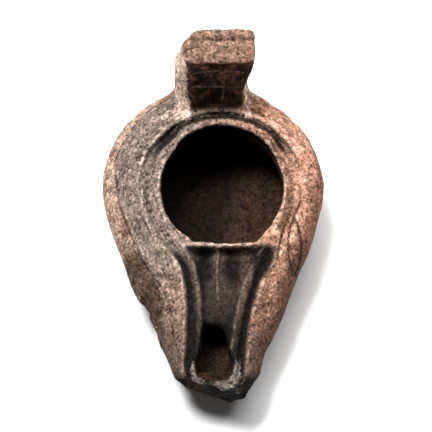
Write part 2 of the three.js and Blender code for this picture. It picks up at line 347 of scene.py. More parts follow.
@dataclass
class LampPlan:
    """The lamp's curves seen from above: outline, keyhole groove, base and filling hole."""

    bowl_radius: float
    bowl_centre: Pair = (-0.2, 3.8)
    taper_bend: float = 6.0
    taper_slope: float = 0.458
    spread_begins: Pair = (46.0, 56.0)
    spread_width: float = 1.1
    spread_shift: float = 0.55
    nose_start_y: float = -57.0
    nose_length: float = 10.0
    nose_squareness: float = 2.4
    rim_centre: Pair = (2.3, -1.2)
    rim_radius: float = 21.0
    rim_front_reach: float = 23.5
    channel_half_width: float = 6.4
    channel_mid_x: float = -1.2
    channel_mid_y: float = -55.0
    channel_lean: float = 0.115
    flare_width: float = 10.5
    flare_start_y: float = -16.0
    flare_fade: float = 10.6
    flare_blend: float = 2.5
    channel_end_y: float = -52.0
    channel_end_length: float = 6.6
    channel_end_squareness: float = 3.0
    base_half: Pair = (14.6, 18.6)
    hole_centre: Pair = (2.4, 0.1)
    hole_radius: float = 17.4
    hole_back_reach: float = 18.4
    hole_front_reach: float = 20.6
    cross_ridge_y: float = -18.7
    cross_ridge_back: float = 0.8
    ring_middle_y: float = -6.0
    ring_reach: float = 27.0

    def half_width(self, y: Array) -> Array:
        """Half the width of the lamp in front of the round back.

        Args:
            y: Places along the lamp.

        Returns:
            The half widths.
        """
        ahead = self.bowl_centre[1] - y
        tapered = self.bowl_radius + self.taper_bend - np.hypot(self.taper_bend, self.taper_slope * ahead)
        return tapered + self.spread_width * smoothstep(-y, *self.spread_begins)

    def middle(self, y: Array) -> Array:
        """The X of the lamp's middle, which swings a little to +X at the nozzle's end."""
        return self.bowl_centre[0] + self.spread_shift * smoothstep(-y, *self.spread_begins)

    def channel_middle(self, y: Array) -> Array:
        """The X of the middle of the keyhole."""
        lean = self.channel_mid_x + self.channel_lean * (y - self.channel_mid_y)
        return np.minimum(self.rim_centre[0], lean)

    def keyhole_half(self, y: Array) -> Array:
        """Half the width of the keyhole in front of the rim's centre.

        Args:
            y: Places along the lamp.

        Returns:
            The half widths.
        """
        ahead = np.clip((self.rim_centre[1] - y) / self.rim_front_reach, 0, 1)
        rim = self.rim_radius * np.sqrt(1 - ahead**2)
        start = self.flare_start_y
        flare = self.flare_width * np.exp((np.minimum(y, start) - start) / self.flare_fade)
        channel = self.channel_half_width + flare
        return (rim + channel + np.hypot(rim - channel, self.flare_blend * ahead)) / 2

    def ring_turn(self, x: Array, y: Array) -> Array:
        """Distance gone round the shoulder, which strokes and streaks are laid out along."""
        return np.arctan2(y - self.ring_middle_y, x) * self.ring_reach

    @staticmethod
    def _closed(
        centre: Pair,
        radius: float,
        middle: Callable[[Array], Array],
        half: Callable[[Array], Array],
        end: tuple[float, float, float],
    ) -> Array:
        """A loop made of a round back, two flanks and a blunt end.

        Args:
            centre: Centre of the round back.
            radius: Its radius.
            middle: Gives the X of the middle at a place along the lamp.
            half: Gives half the width there.
            end: Where the blunt end starts, its length, and how square it is.

        Returns:
            The loop's points.
        """
        start_y, length, squareness = end
        angles = np.linspace(0, np.pi / 2, 36)
        back = np.stack([radius * np.cos(angles[::-1]), centre[1] + radius * np.sin(angles[::-1])], 1)
        ys = np.linspace(centre[1], start_y, 48)[1:]
        flank = np.stack([half(ys), ys], 1)
        last = half(np.array(start_y))
        across = last * np.clip(np.cos(angles), 0, 1) ** (2 / squareness)
        along = start_y - length * np.sin(angles) ** (2 / squareness)
        right = np.vstack([back, flank, np.stack([across, along], 1)[1:]])
        shift = np.where(right[:, 1] > centre[1], centre[0], middle(np.maximum(right[:, 1], start_y)))
        left = np.stack([shift - right[:, 0], right[:, 1]], 1)[::-1]
        right = np.stack([shift + right[:, 0], right[:, 1]], 1)
        return np.vstack([right, left[1:-1]])

    def outline(self) -> Array:
        """The lamp's outline at its seam."""
        end = (self.nose_start_y, self.nose_length, self.nose_squareness)
        return self._closed(self.bowl_centre, self.bowl_radius, self.middle, self.half_width, end)

    def keyhole(self) -> Array:
        """The groove round the filling hole and down both sides of the channel."""
        end = (self.channel_end_y, self.channel_end_length, self.channel_end_squareness)
        return self._closed(self.rim_centre, self.rim_radius, self.channel_middle, self.keyhole_half, end)

    def foot(self) -> Array:
        """The oval that the lamp stands on."""
        angles = np.linspace(0, 2 * np.pi, 96, endpoint=False)
        return np.stack([self.base_half[0] * np.cos(angles), self.base_half[1] * np.sin(angles)], 1)

    def hole(self) -> Array:
        """The filling hole: round behind, drawn out in front and cut straight by the cross ridge.

        Returns:
            A loop of X and Y.
        """
        angles = np.linspace(0, 2 * np.pi, 120, endpoint=False)
        reach = np.where(np.sin(angles) < 0, self.hole_front_reach, self.hole_back_reach)
        ys = self.hole_centre[1] + reach * np.sin(angles)
        xs = self.hole_centre[0] + self.hole_radius * np.cos(angles)
        return np.stack([xs, np.maximum(ys, self.cross_ridge_y + self.cross_ridge_back)], 1)


# ---------------------------------------------------------------- carving on the upper half


class Profile(Enum):
    """Heights over the crest, read outwards across the keyhole groove: pairs of place and height."""

    CHANNEL_LEFT = (
        (-4.6, -3.1), (-3.5, -1.5), (-2.7, 0.0), (-1.9, -0.1),
        (-0.7, -1.4), (0.1, -1.8), (0.9, -0.7), (1.5, 0.0),
    )
    CHANNEL_RIGHT = (
        (-5.6, -3.1), (-4.4, -1.5), (-3.2, -0.1), (-1.6, 0.0),
        (-0.7, -0.9), (0.1, -1.6), (0.9, -0.6), (1.6, 0.0),
    )
    RIM_LEFT = (
        (-4.2, -0.9), (-3.4, -0.3), (-2.8, -0.1), (-1.6, -0.3),
        (-0.4, -0.5), (0.3, -0.8), (0.8, -0.6), (1.3, 0.0),
    )
    RIM_RIGHT = (
        (-4.2, -0.9), (-3.4, -0.3), (-2.6, -0.2), (-1.2, -0.4),
        (-0.6, -0.9), (0.8, -1.0), (1.3, -0.3), (1.9, 0.0),
    )
    RIM_BACK = (
        (-4.4, -2.9), (-1.4, -2.6), (1.4, -2.4), (1.9, -2.2),
        (2.5, -0.1), (3.0, 0.4), (3.6, 0.2), (4.4, 0.0),
    )

    def height(self, place: Array) -> Array:
        """The height at a distance outside the groove's line."""
        places, heights = zip(*self.value)
        return np.interp(place, places, heights)


@dataclass
class Carving:
    """What the mould and the maker's tools left on the upper half, as heights over the plain form.

    A pair whose name ends in begins or stops is where that change starts and where it is complete. A depth
    is how far a line is cut in, and a half is half its width.
    """

    plan: LampPlan
    rim_begins: Pair = (-27.0, -15.0)
    back_begins: Pair = (-5.0, 16.0)
    right_begins: Pair = (-4.0, 6.0)
    shoulder_begins: Pair = (2.2, 3.6)
    channel_begins: Pair = (2.6, 4.4)
    channel_stops: Pair = (-19.4, -18.2)
    ridge_ends: Pair = (-9.0, 16.6)
    ridge_fade: Pair = (3.0, 1.0)
    ridge_rise: float = 0.55
    ridge_half: float = 0.85
    ridge_back: float = 0.25
    ridge_reach: float = 2.0
    rib_x: float = 0.6
    rib_half: float = 0.6
    rib_rise: float = 1.3
    rib_sway: Pair = (0.25, 3.7)
    rib_begins: Pair = (-38.5, -29.5)
    rib_stops: Pair = (-19.5, -18.0)
    hollow_depth: float = 1.3
    hollow_begins: Pair = (-44.0, -23.0)
    hollow_stops: Pair = (-20.5, -18.6)
    hollow_sides: tuple[Pair, Pair] = ((-3.6, 2.2), (4.0, 2.6))
    left_stops: Pair = (-6.0, 6.0)
    line_half: float = 0.4
    border_inset: float = 3.3
    border_waver: float = 0.3
    border_bump: float = 2.2
    border_bump_at: Pair = (-29.0, 9.0)
    border_back_inset: float = 0.9
    border_back_begins: Pair = (-10.0, 5.0)
    border_half: float = 0.38
    border_depth: float = 0.3
    border_deepest_at: Pair = (-26.0, 10.0)
    inner_inset: float = 2.4
    inner_depth: float = 0.2
    inner_at: Pair = (-24.0, 8.0)
    arc_insets: Pair = (5.6, 7.6)
    arc_depth: float = 0.12
    arc_at: Pair = (19.0, 7.0)
    hatch_pitch: float = 2.3
    hatch_slant: float = 0.9
    hatch_depth: float = 0.2
    hatch_begins: Pair = (0.6, 1.2)
    hatch_stops: Pair = (1.6, 2.3)
    streak_depth: float = 0.15
    streak_waver: float = 0.6
    streak_frequency: float = 4.2
    streak_begins: tuple[Pair, Pair] = ((-32.0, -16.0), (3.4, 5.0))
    crevice: tuple[Pair, ...] = ((10.4, 24.2), (12.6, 23.6), (15.0, 21.8))
    crevice_depth: float = 1.3
    crevice_half: float = 0.75
    vein_depth: float = 0.3
    leaf_veins: tuple[tuple[Pair, ...], ...] = (
        ((24.6, -5.7), (18.0, -17.2), (21.8, -26.0)),
        ((22.6, -11.0), (26.1, -19.4), (22.4, -25.4)),
        ((19.9, -12.5), (17.9, -18.0), (17.3, -22.8)),
    )

    def rim_to_channel(self, key: Array, x: Array, y: Array) -> Array:
        """The sunk rim and the channel, from their profiles across the keyhole groove.

        Args:
            key: Distance outside the keyhole groove.
            x: Places across.
            y: Places along.

        Returns:
            Heights over the crest.
        """
        at_rim = smoothstep(y, *self.rim_begins)
        at_back = smoothstep(y, *self.back_begins)
        at_left = 1 - smoothstep(x, *self.right_begins)
        side = Profile.RIM_LEFT.height(key) * at_left + Profile.RIM_RIGHT.height(key) * (1 - at_left)
        rim = side * (1 - at_back) + Profile.RIM_BACK.height(key) * at_back
        left, right = Profile.CHANNEL_LEFT.height(key), Profile.CHANNEL_RIGHT.height(key)
        return rim * at_rim + (left * at_left + right * (1 - at_left)) * (1 - at_rim)

    def cross_ridge(self, x: Array, y: Array) -> Array:
        """The thin straight ridge between the filling hole and the channel.

        Args:
            x: Places across.
            y: Places along.

        Returns:
            How much of the ridge stands at each place, from 0 to 1.
        """
        (start, end), (outer, inner) = self.ridge_ends, self.ridge_fade
        ends = smoothstep(x, start - outer, start + inner) * (1 - smoothstep(x, end - inner, end + outer))
        return ends * bell(np.minimum(y - self.plan.cross_ridge_y, 0) + self.ridge_back, self.ridge_half)

    def rib(self, x: Array, y: Array) -> Array:
        """The thin rib down the middle of the channel, worn away towards the wick hole.

        Args:
            x: Places across.
            y: Places along.

        Returns:
            How much of the rib stands at each place, from 0 to 1.
        """
        left_over = smoothstep(y, *self.rib_begins) * (1 - smoothstep(y, *self.rib_stops))
        far, length = self.rib_sway
        return left_over * bell(x - (self.rib_x + far * np.sin(y / length)), self.rib_half)

    def hollows(self, x: Array, y: Array) -> Array:
        """The two thumb-soft hollows in the channel, either side of the rib."""
        along = smoothstep(y, *self.hollow_begins) * (1 - smoothstep(y, *self.hollow_stops))
        return along * sum(bell(x - (self.rib_x + off), reach) for off, reach in self.hollow_sides)

    def relief(self, grid: ClayGrid, out: Array, key: Array) -> Array:
        """All the carving together.

        Args:
            grid: The grid that the maps are on.
            out: Distance inside the outline.
            key: Distance outside the keyhole groove.

        Returns:
            Heights to add to the plain upper half.
        """
        x, y = grid.x, grid.y
        deck = self.rim_to_channel(key, x, y)
        in_channel = smoothstep(-key, *self.channel_begins) * (1 - smoothstep(y, *self.channel_stops))
        deck = deck - in_channel * self.hollow_depth * self.hollows(x, y)
        deck = deck + in_channel * self.rib_rise * self.rib(x, y)
        level = np.where(key < self.ridge_reach, self.ridge_rise, FAR_BELOW)
        deck = np.maximum(deck, deck + (level - deck) * self.cross_ridge(x, y))
        return deck + smoothstep(key, *self.shoulder_begins) * self.shoulder(grid, out, key)

    def shoulder(self, grid: ClayGrid, out: Array, key: Array) -> Array:
        """Border lines, strokes, worn streaks, crevice and leaf veins on the shoulder.

        Args:
            grid: The grid that the maps are on.
            out: Distance inside the outline.
            key: Distance outside the keyhole groove.

        Returns:
            Heights, which are negative where a line is cut in.
        """
        left = 1 - smoothstep(grid.x, *self.left_stops)
        cut_lines = self._borders(grid, out, left) - self._strokes(grid, out, left)
        cut_lines = cut_lines + self._streaks(grid, out, key, left)
        crevice = path_distance(bezier(self.crevice), grid.x, grid.y)
        cut_lines = cut_lines - self.crevice_depth * bell(crevice, self.crevice_half)
        return cut_lines - self.vein_depth * bell(self.vein_line(grid.x, grid.y), self.line_half)

    def _borders(self, grid: ClayGrid, out: Array, left: Array) -> Array:
        """The border line, a second line inside it at the nozzle, and two faint arcs by the handle.

        Args:
            grid: The grid that the maps are on.
            out: Distance inside the outline.
            left: 1 on the -X side, where the lines are fresh.

        Returns:
            Heights, none above 0.
        """
        border = self.border_line(grid, out)
        deeper = 0.3 + 0.9 * self._near(grid, self.border_deepest_at)
        line = -self.border_depth * bell(border, self.border_half) * deeper * (0.2 + 0.8 * left)
        inner = bell(border - self.inner_inset, self.line_half) * self._near(grid, self.inner_at)
        arcs = sum(bell(out - inset, self.line_half) for inset in self.arc_insets)
        arcs = arcs * self._near(grid, self.arc_at)
        return line - left * (self.inner_depth * inner + self.arc_depth * arcs)

    def _strokes(self, grid: ClayGrid, out: Array, left: Array) -> Array:
        """Short slanting strokes along the outer edge, worn away in patches.

        Args:
            grid: The grid that the maps are on.
            out: Distance inside the outline.
            left: 1 on the -X side, where the strokes are.

        Returns:
            Depths.
        """
        turn = self.plan.ring_turn(grid.x, grid.y)
        strokes = 0.5 - 0.5 * np.cos(2 * np.pi * (turn + self.hatch_slant * out) / self.hatch_pitch)
        patchy = smoothstep(grid.noise((5, 5, 0), Seed.STROKE_WEAR), -0.4, 0.9)
        band = smoothstep(out, *self.hatch_begins) * (1 - smoothstep(out, *self.hatch_stops))
        return self.hatch_depth * strokes**3 * band * left * patchy

    def _streaks(self, grid: ClayGrid, out: Array, key: Array, left: Array) -> Array:
        """Shallow streaks that run round the shoulder, where the wet clay was wiped.

        Args:
            grid: The grid that the maps are on.
            out: Distance inside the outline.
            key: Distance outside the keyhole groove.
            left: 1 on the -X side, where the streaks are.

        Returns:
            Heights above and below 0.
        """
        place = key + self.streak_waver * grid.noise((5, 8, 0), Seed.STREAK_WAVER)
        along, across = self.streak_begins
        patchy = smoothstep(grid.noise((6, 6, 0), Seed.STREAK_WEAR), -0.8, 0.8)
        worn = patchy * left * smoothstep(grid.y, *along)
        return self.streak_depth * np.sin(place * self.streak_frequency) * worn * smoothstep(out, *across)

    def border_line(self, grid: ClayGrid, out: Array) -> Array:
        """Distance inside the border line that runs round the shoulder.

        Args:
            grid: The grid.
            out: Distance inside the outline.

        Returns:
            The signed distances.
        """
        waver = self.border_waver * grid.noise((6, 6, 0), Seed.BORDER_WAVER)
        waver = waver + self.border_bump * self._near(grid, self.border_bump_at)
        back = self.border_back_inset * smoothstep(grid.y, *self.border_back_begins)
        return out - self.border_inset - waver - back

    def vein_line(self, x: Array, y: Array) -> Array:
        """Distance to the nearest leaf vein."""
        return np.minimum.reduce([path_distance(bezier(vein), x, y) for vein in self.leaf_veins])

    @staticmethod
    def _near(grid: ClayGrid, place: Pair) -> Array:
        """A soft band across the lamp, 1 at a place given as its Y and its reach."""
        return bell(grid.y - place[0], place[1])


# ---------------------------------------------------------------- the form


@dataclass
class TongueHandle:
    """The upright tongue handle: a thick tab that leans back, swollen on its -X side, with a worn front.

    Halves are distances from its middle to its flanks. A growth is what a flank gains on its way.
    """

    centre_x: float = 1.5
    left_half: float = 7.8
    right_half: float = 6.8
    back_begins: Pair = (23.0, 31.0)
    back_growth: Pair = (1.9, 1.0)
    left_swell: float = 2.3
    left_swell_at: Pair = (34.0, 9.0)
    right_growth: float = 2.7
    right_growth_begins: Pair = (30.0, 46.0)
    root_growth: float = 1.6
    root_stops: Pair = (24.0, 33.0)
    edge_round: float = 2.4
    front_foot: Pair = (21.5, 27.0)
    front_lean: float = 0.16
    front_stops: Pair = (1.5, 5.0)
    panel_half: float = 6.2
    panel_depth: float = 0.95
    panel_begins: Pair = (27.0, 31.0)
    panel_stops: Pair = (43.0, 45.0)
    bar_rise: float = 0.6
    bar_z: float = 37.2
    bar_tilt: float = 0.02
    bar_half: float = 0.8
    upright_x: float = 0.9
    upright_half: float = 0.9
    upright_begins: Pair = (29.0, 33.0)
    brow_z: float = 45.2
    brow_depth: float = 0.5
    brow_half: float = 0.7
    lump_centre: tuple[float, float, float] = (11.4, 27.2, 20.0)
    lump_half: tuple[float, float, float] = (5.0, 3.4, 5.6)

    @staticmethod
    def side() -> Array:
        """The handle seen from its side.

        Returns:
            A loop of Y and Z.
        """
        pieces = [
            bezier([(21.3, 20), (23.0, 27.5)], 3),
            bezier([(23.0, 27.5), (24.4, 35), (26.2, 43)]),
            bezier([(26.2, 43), (27.0, 47.3), (29.4, 47.9)]),
            bezier([(29.4, 47.9), (33.0, 48.4), (34.2, 47.1)], 8),
            bezier([(34.2, 47.1), (34.8, 48.5), (36.0, 48.3)], 8),
            bezier([(36.0, 48.3), (38.3, 48.1), (38.5, 45.2)]),
            bezier([(38.5, 45.2), (39.1, 38), (38.6, 32), (37.2, 25)]),
            bezier([(37.2, 25), (36.3, 19.5), (33.5, 15)]),
            bezier([(33.5, 15), (26.5, 15)], 2),
        ]
        return np.vstack([piece[:-1] for piece in pieces])

    def clay(self, grid: ClayGrid) -> Array:
        """The handle's clay.

        Args:
            grid: The grid.

        Returns:
            Distances, negative inside the handle.
        """
        y, z = grid.y, grid.z
        side = loop_distance(self.side(), y[0], z[0])[None]
        back = smoothstep(y, *self.back_begins)
        root = self.root_growth * (1 - smoothstep(z, *self.root_stops))
        (left_growth, right_growth), (middle, reach) = self.back_growth, self.left_swell_at
        left = self.left_half + back * (left_growth + self.left_swell * bell(z - middle, reach)) + root
        right = self.right_half + self.right_growth * smoothstep(z, *self.right_growth_begins)
        right = right + right_growth * back + root
        across = grid.x - self.centre_x
        width = np.where(across > 0, across - right, -across - left)
        return cut(side + self.front_wear(grid), -width, self.edge_round)

    def front_wear(self, grid: ClayGrid) -> Array:
        """Shallow worn panels in the front, parted by a faint upright and a faint bar, under a brow.

        Args:
            grid: The grid.

        Returns:
            How far the front is worn back.
        """
        across, z = grid.x - self.centre_x, grid.z
        ahead = grid.y - self.front_foot[0] - (z - self.front_foot[1]) * self.front_lean
        front = 1 - smoothstep(ahead, *self.front_stops)
        upright = bell(across - self.upright_x, self.upright_half) * smoothstep(z, *self.upright_begins)
        bar = bell(z - self.bar_z + self.bar_tilt * across, self.bar_half)
        rows = smoothstep(z, *self.panel_begins) * (1 - smoothstep(z, *self.panel_stops))
        panels = bell(across, self.panel_half) * rows
        brow = front * self.brow_depth * bell(z - self.brow_z, self.brow_half)
        return brow + front * panels * (self.panel_depth - self.bar_rise * np.maximum(upright, bar))

    def root_lump(self, grid: ClayGrid) -> Array:
        """A lump of clay thumbed on where the handle's +X side meets the shoulder.

        Args:
            grid: The grid.

        Returns:
            Distances, negative inside the lump.
        """
        places = zip((grid.x, grid.y, grid.z), self.lump_centre, self.lump_half)
        gaps = [(place - middle) / half for place, middle, half in places]
        return (np.sqrt(sum(g * g for g in gaps)) - 1) * min(self.lump_half)


@dataclass
class WickHole:
    """The wick hole: a long slot whose floor climbs to the tip and whose far end dives into the oil.

    A draft is how much the slot narrows on its way down.
    """

    middle_x: float = -0.6
    half_width: float = 3.7
    far_y: float = -40.0
    near_y: float = -57.3
    depth: float = 9.0
    depth_limits: Pair = (-0.6, 1.2)
    far_draft: float = 1.2
    near_draft: float = 2.2
    side_draft: float = 0.6
    mouth_growth: float = 1.7
    mouth_begins: Pair = (45.0, 54.0)
    squareness: float = 3.4
    floor: float = 9.4
    floor_climb: float = 9.2
    floor_begins: Pair = (45.5, 57.5)
    slope: float = 4.2

    def slot(self, x: Array, y: Array, below: Array) -> Array:
        """The slot's plan at each depth: 0 on its edge, -1 in its middle.

        Args:
            x: Places across.
            y: Places along.
            below: Depths under the channel's floor.

        Returns:
            The slot's values.
        """
        depth = np.clip(below / self.depth, *self.depth_limits)
        sunk = np.maximum(depth, 0)
        far, near = self.far_y - self.far_draft * sunk, self.near_y + self.near_draft * sunk
        half_x = self.half_width + self.mouth_growth * smoothstep(-y, *self.mouth_begins)
        half_x = half_x - self.side_draft * depth
        gaps = (np.abs(x - self.middle_x) / half_x, np.abs(2 * y - far - near) / (far - near))
        return (gaps[0] ** self.squareness + gaps[1] ** self.squareness) ** (1 / self.squareness) - 1

    def space(self, grid: ClayGrid, slot: Array) -> Array:
        """The whole hole, from the slot's values on the grid, negative inside."""
        floor = self.floor + self.floor_climb * smoothstep(-grid.y, *self.floor_begins)
        return np.maximum(slot * self.slope, floor - grid.z)


@dataclass
class Breaks:
    """Where clay has broken away: the nozzle's end, a chip in its -X flank and a corner of the handle.

    Each face of the nozzle's end is the direction in plan that points back into the clay, and a place on
    the face. The unevenness of each break is how far its face strays from flat.
    """

    nose_faces: tuple[tuple[Pair, Pair], ...] = (
        ((0.33, 0.944), (-5.6, -56.2)),
        ((-0.382, 0.924), (3.0, -59.8)),
        ((-0.749, 0.663), (7.2, -58.3)),
    )
    nose_undercut: float = 0.55
    nose_undercut_z: float = 10.0
    nose_uneven: float = 0.45
    chip_facing: Pair = (0.93, 0.37)
    chip_place: Pair = (-21.2, -33.8)
    chip_middle: Pair = (-33.4, 13.0)
    chip_half: tuple[float, float, float] = (2.3, 2.2, 5.2)
    chip_uneven: float = 0.3
    corner_facing: tuple[float, float, float] = (0.64, -0.77, -0.16)
    corner_place: tuple[float, float, float] = (-5.0, 37.4, 48.0)
    corner_uneven: float = 0.25
    corner_lowest_z: float = 30.0

    def gone(self, grid: ClayGrid, rough: Array) -> Array:
        """All that has broken away, negative there, with faces that the noise makes uneven."""
        nozzle = np.minimum(self._nose(grid, rough), self._chip(grid, rough))
        return np.minimum(nozzle, self._corner(grid, rough))

    def _nose(self, grid: ClayGrid, rough: Array) -> Array:
        """The nozzle's end, broken along three faces and undercut.

        Args:
            grid: The grid.
            rough: Noise for the broken faces.

        Returns:
            Distances, negative in what is gone.
        """
        faces = [n[0] * (grid.x - p[0]) + n[1] * (grid.y - p[1]) for n, p in self.nose_faces]
        undercut = self.nose_undercut * np.maximum(self.nose_undercut_z - grid.z, 0)
        return np.minimum.reduce(faces) - undercut + self.nose_uneven * rough

    def _chip(self, grid: ClayGrid, rough: Array) -> Array:
        """The chip knocked out of the nozzle's -X flank.

        Args:
            grid: The grid.
            rough: Noise for the broken faces.

        Returns:
            Distances, negative in what is gone.
        """
        (face_x, face_y), (place_x, place_y) = self.chip_facing, self.chip_place
        across = (grid.x - place_x) * face_x + (grid.y - place_y) * face_y
        (middle_y, middle_z), (deep, long, high) = self.chip_middle, self.chip_half
        chip = np.maximum(np.abs(across) - deep, np.abs(grid.y - middle_y) - long)
        return np.maximum(chip, np.abs(grid.z - middle_z) - high) + self.chip_uneven * rough

    def _corner(self, grid: ClayGrid, rough: Array) -> Array:
        """The corner knocked off the handle's top.

        Args:
            grid: The grid.
            rough: Noise for the broken faces.

        Returns:
            Distances, negative in what is gone.
        """
        axes = zip(self.corner_facing, (grid.x, grid.y, grid.z), self.corner_place)
        corner = sum(facing * (axis - place) for facing, axis, place in axes)
        return np.maximum(corner + self.corner_uneven * rough, self.corner_lowest_z - grid.z)


@dataclass
class LampForm:
    """The whole clay body as one field of distances."""

    handle: TongueHandle = field(default_factory=TongueHandle)
    wick_hole: WickHole = field(default_factory=WickHole)
    breaks: Breaks = field(default_factory=Breaks)
    wall: float = 4.0
    seam_height: float = 16.0
    seam_nose_drop: float = 1.5
    seam_drop_begins: Pair = (10.0, 60.0)
    crest_height: float = 27.0
    crest_back_y: float = 20.0
    crest_fall: float = 0.001
    crest_outside: float = 1.6
    upper_round: float = 1.7
    lower_round: float = 1.5
    least_run: float = 1.2
    carving_begins: Pair = (-0.5, 1.5)
    trough_depth: float = 3.1
    hollow_end_y: float = -54.2
    hollow_floor_lift: float = 0.3
    hollow_roof_lift: float = 0.6
    hollow_insets: Pair = (1.5, 2.6)
    throat_drop: float = 2.0
    shoulder_fillet: float = 1.6
    handle_fillet_growth: float = 2.4
    handle_fillet_begins: Pair = (22.0, 27.0)
    lump_fillet: float = 2.0
    hole_round: float = 1.0
    wick_round: float = 0.9
    break_round: float = 0.5
    lumpiness: float = 0.16
    fine_noise: float = 0.07
    finest_noise: float = 0.045
    foot_gap: float = 0.12

    def seam(self, y: Array) -> Array:
        """Height of the widest line."""
        return self.seam_height - self.seam_nose_drop * smoothstep(-y, *self.seam_drop_begins)

    def crest(self, y: Array) -> Array:
        """Height of the crest round the rim and the channel."""
        return self.crest_height - self.crest_fall * (self.crest_back_y - y) ** 2

    def shoulder_top(self, y: Array, out: Array, key: Array) -> Array:
        """Height of the plain upper surface."""
        to_crest = np.clip(out / np.maximum(out + key - self.crest_outside, self.least_run), 0.0, 1.0)
        return self.seam(y) + (self.crest(y) - self.seam(y)) * np.sqrt(1 - (1 - to_crest) ** self.upper_round)

    @staticmethod
    def _true_scale(values: Array, step: float) -> Array:
        """Scales a field so that it grows by 1 for each millimetre near its surface."""
        slope = np.sqrt(sum(g * g for g in np.gradient(values, step)))
        return np.clip(values / np.maximum(slope, LEAST_SLOPE), -FIELD_REACH, FIELD_REACH)

    def _rounds(
        self,
        grid: ClayGrid,
        runs: tuple[Array, ...],
        rises: tuple[Array, ...],
    ) -> Array:
        """Two quarter rounds that meet at the seam.

        Args:
            grid: The grid.
            runs: How far in each place lies, of the way to the crest and of the way to the foot.
            rises: How far up and how far down from the seam it lies.

        Returns:
            Distances, negative inside.
        """
        upper = (1 - runs[0]) ** self.upper_round + rises[0] ** 2
        lower = (1 - runs[1]) ** self.lower_round + rises[1] ** 2
        return self._true_scale(np.sqrt(np.where(grid.z > self.seam(grid.y), upper, lower)) - 1, grid.step)

    def body(self, grid: ClayGrid, maps: Maps) -> Array:
        """Bowl and shoulder.

        Args:
            grid: The grid.
            maps: Plan maps: out, key, foot and relief.

        Returns:
            Distances, negative inside the clay.
        """
        out, key, foot = maps["out"], maps["key"], maps["foot"]
        seam, crest = self.seam(grid.y), self.crest(grid.y)
        to_crest = np.clip(out / np.maximum(out + key - self.crest_outside, self.least_run), -1.0, 1.0)
        to_foot = np.clip(out / np.maximum(out + foot, self.least_run), -1.0, 1.0)
        lifted = grid.z - maps["relief"] * smoothstep(grid.z - seam, *self.carving_begins)
        rises = ((lifted - seam) / (crest - seam), (seam - grid.z) / seam)
        return np.maximum(self._rounds(grid, (to_crest, to_foot), rises), -out)

    def hollow(self, grid: ClayGrid, maps: Maps) -> Array:
        """The space for the oil, one wall inside the body.

        Args:
            grid: The grid.
            maps: Plan maps: out, key and foot.

        Returns:
            Distances, negative inside the space.
        """
        inside = np.minimum(maps["out"] - self.wall, grid.y - self.hollow_end_y)
        seam, floor = self.seam(grid.y), self.wall + self.hollow_floor_lift
        roof = self.crest(grid.y) - self.wall - self.trough_depth + self.hollow_roof_lift
        limits = zip((maps["key"], maps["foot"]), self.hollow_insets)
        gaps = [np.maximum(inside + limit + inset, self.least_run) for limit, inset in limits]
        runs = [np.clip(inside / gap, -1.0, 1.0) for gap in gaps]
        rises = ((grid.z - seam) / (roof - seam), (seam - grid.z) / (seam - floor))
        return self._rounds(grid, tuple(runs), rises)

    def wick_slot(self, x: Array, y: Array, z: Array) -> Array:
        """The wick hole's plan at each height: 0 on its edge, -1 in its middle."""
        return self.wick_hole.slot(x, y, self.crest(y) - self.trough_depth - z)

    def clay(self, grid: ClayGrid, maps: Maps) -> Array:
        """The finished clay body.

        Args:
            grid: The grid.
            maps: Plan maps: out, key, foot, hole and relief.

        Returns:
            Distances, negative inside the clay.
        """
        lamp = self.body(grid, maps)
        growth = self.handle_fillet_growth * smoothstep(grid.y, *self.handle_fillet_begins)
        lamp = union(lamp, self.handle.clay(grid), self.shoulder_fillet + growth)
        lamp = union(lamp, self.handle.root_lump(grid), self.lump_fillet)
        lamp = cut(lamp, self.hollow(grid, maps), self.hole_round)
        throat = np.maximum(maps["hole"], self.seam_height - self.throat_drop - grid.z)
        lamp = cut(lamp, throat, self.hole_round)
        slot = self.wick_slot(grid.x, grid.y, grid.z)
        lamp = cut(lamp, self.wick_hole.space(grid, slot), self.wick_round)
        rough = grid.noise((1.6, 1.6, 1.6), Seed.ROUGHNESS)
        lamp = cut(lamp, self.breaks.gone(grid, rough), self.break_round)
        lamp = lamp + self.lumpiness * grid.noise((9, 9, 9), Seed.LUMPS) + self.fine_noise * rough
        lamp = lamp + self.finest_noise * grid.noise((0.9, 0.9, 0.9), Seed.GRAIN)
        return np.maximum(lamp, self.foot_gap - grid.z)


# ---------------------------------------------------------------- masks that the form gives


@dataclass(frozen=True)
class Zone:
    """A soft-edged zone of the clay: ramps and humps along measures of the form, multiplied.

    Args:
        ramps: For each, its measure, where it is 0 and where it is 1.
        humps: For each, its measure, its middle and its reach.
        share: How strong the zone is at its fullest.
    """

    ramps: tuple[Ramp, ...] = ()
    humps: tuple[Hump, ...] = ()
    share: float = 1.0

    def read(self, measures: Maps) -> Array:
        """Works the zone out.

        Args:
            measures: The value of each measure at each corner.

        Returns:
            Values between 0 and the share.
        """
        ramps = [smoothstep(measures[name], start, end) for name, start, end in self.ramps]
        humps = [bell(measures[name] - middle, reach) for name, middle, reach in self.humps]
        return math.prod(ramps + humps, start=self.share)


@dataclass(frozen=True)
class Mask:
    """Where one thing lies on the clay: the sum of its zones.

    Args:
        zones: The zones; one with a share below 0 takes away.
        most: The most that the sum may be.
    """

    zones: tuple[Zone, ...]
    most: float = 1.0

    def read(self, measures: Maps) -> Array:
        """Adds the zones up, from the value of each measure at each corner."""
        return np.clip(sum(zone.read(measures) for zone in self.zones), 0, self.most)


OIL_SPACE: tuple[Ramp, ...] = (
    ("below", 0.8, 3.5), ("out", 2.6, 3.4), ("z", 3.6, 4.2), ("z", 26.51, 26.49), ("y", -57.6, -56.0),
)
LEFT_SHOULDER: tuple[Ramp, ...] = (("x", 8.0, -12.0), ("out", 3.2, 5.0), ("z", 32.0, 27.5))
BROKEN_TIP: Ramp = ("to_tip", -52.0, -56.5)
ON_HANDLE: Ramp = ("y", 19.99, 20.01)

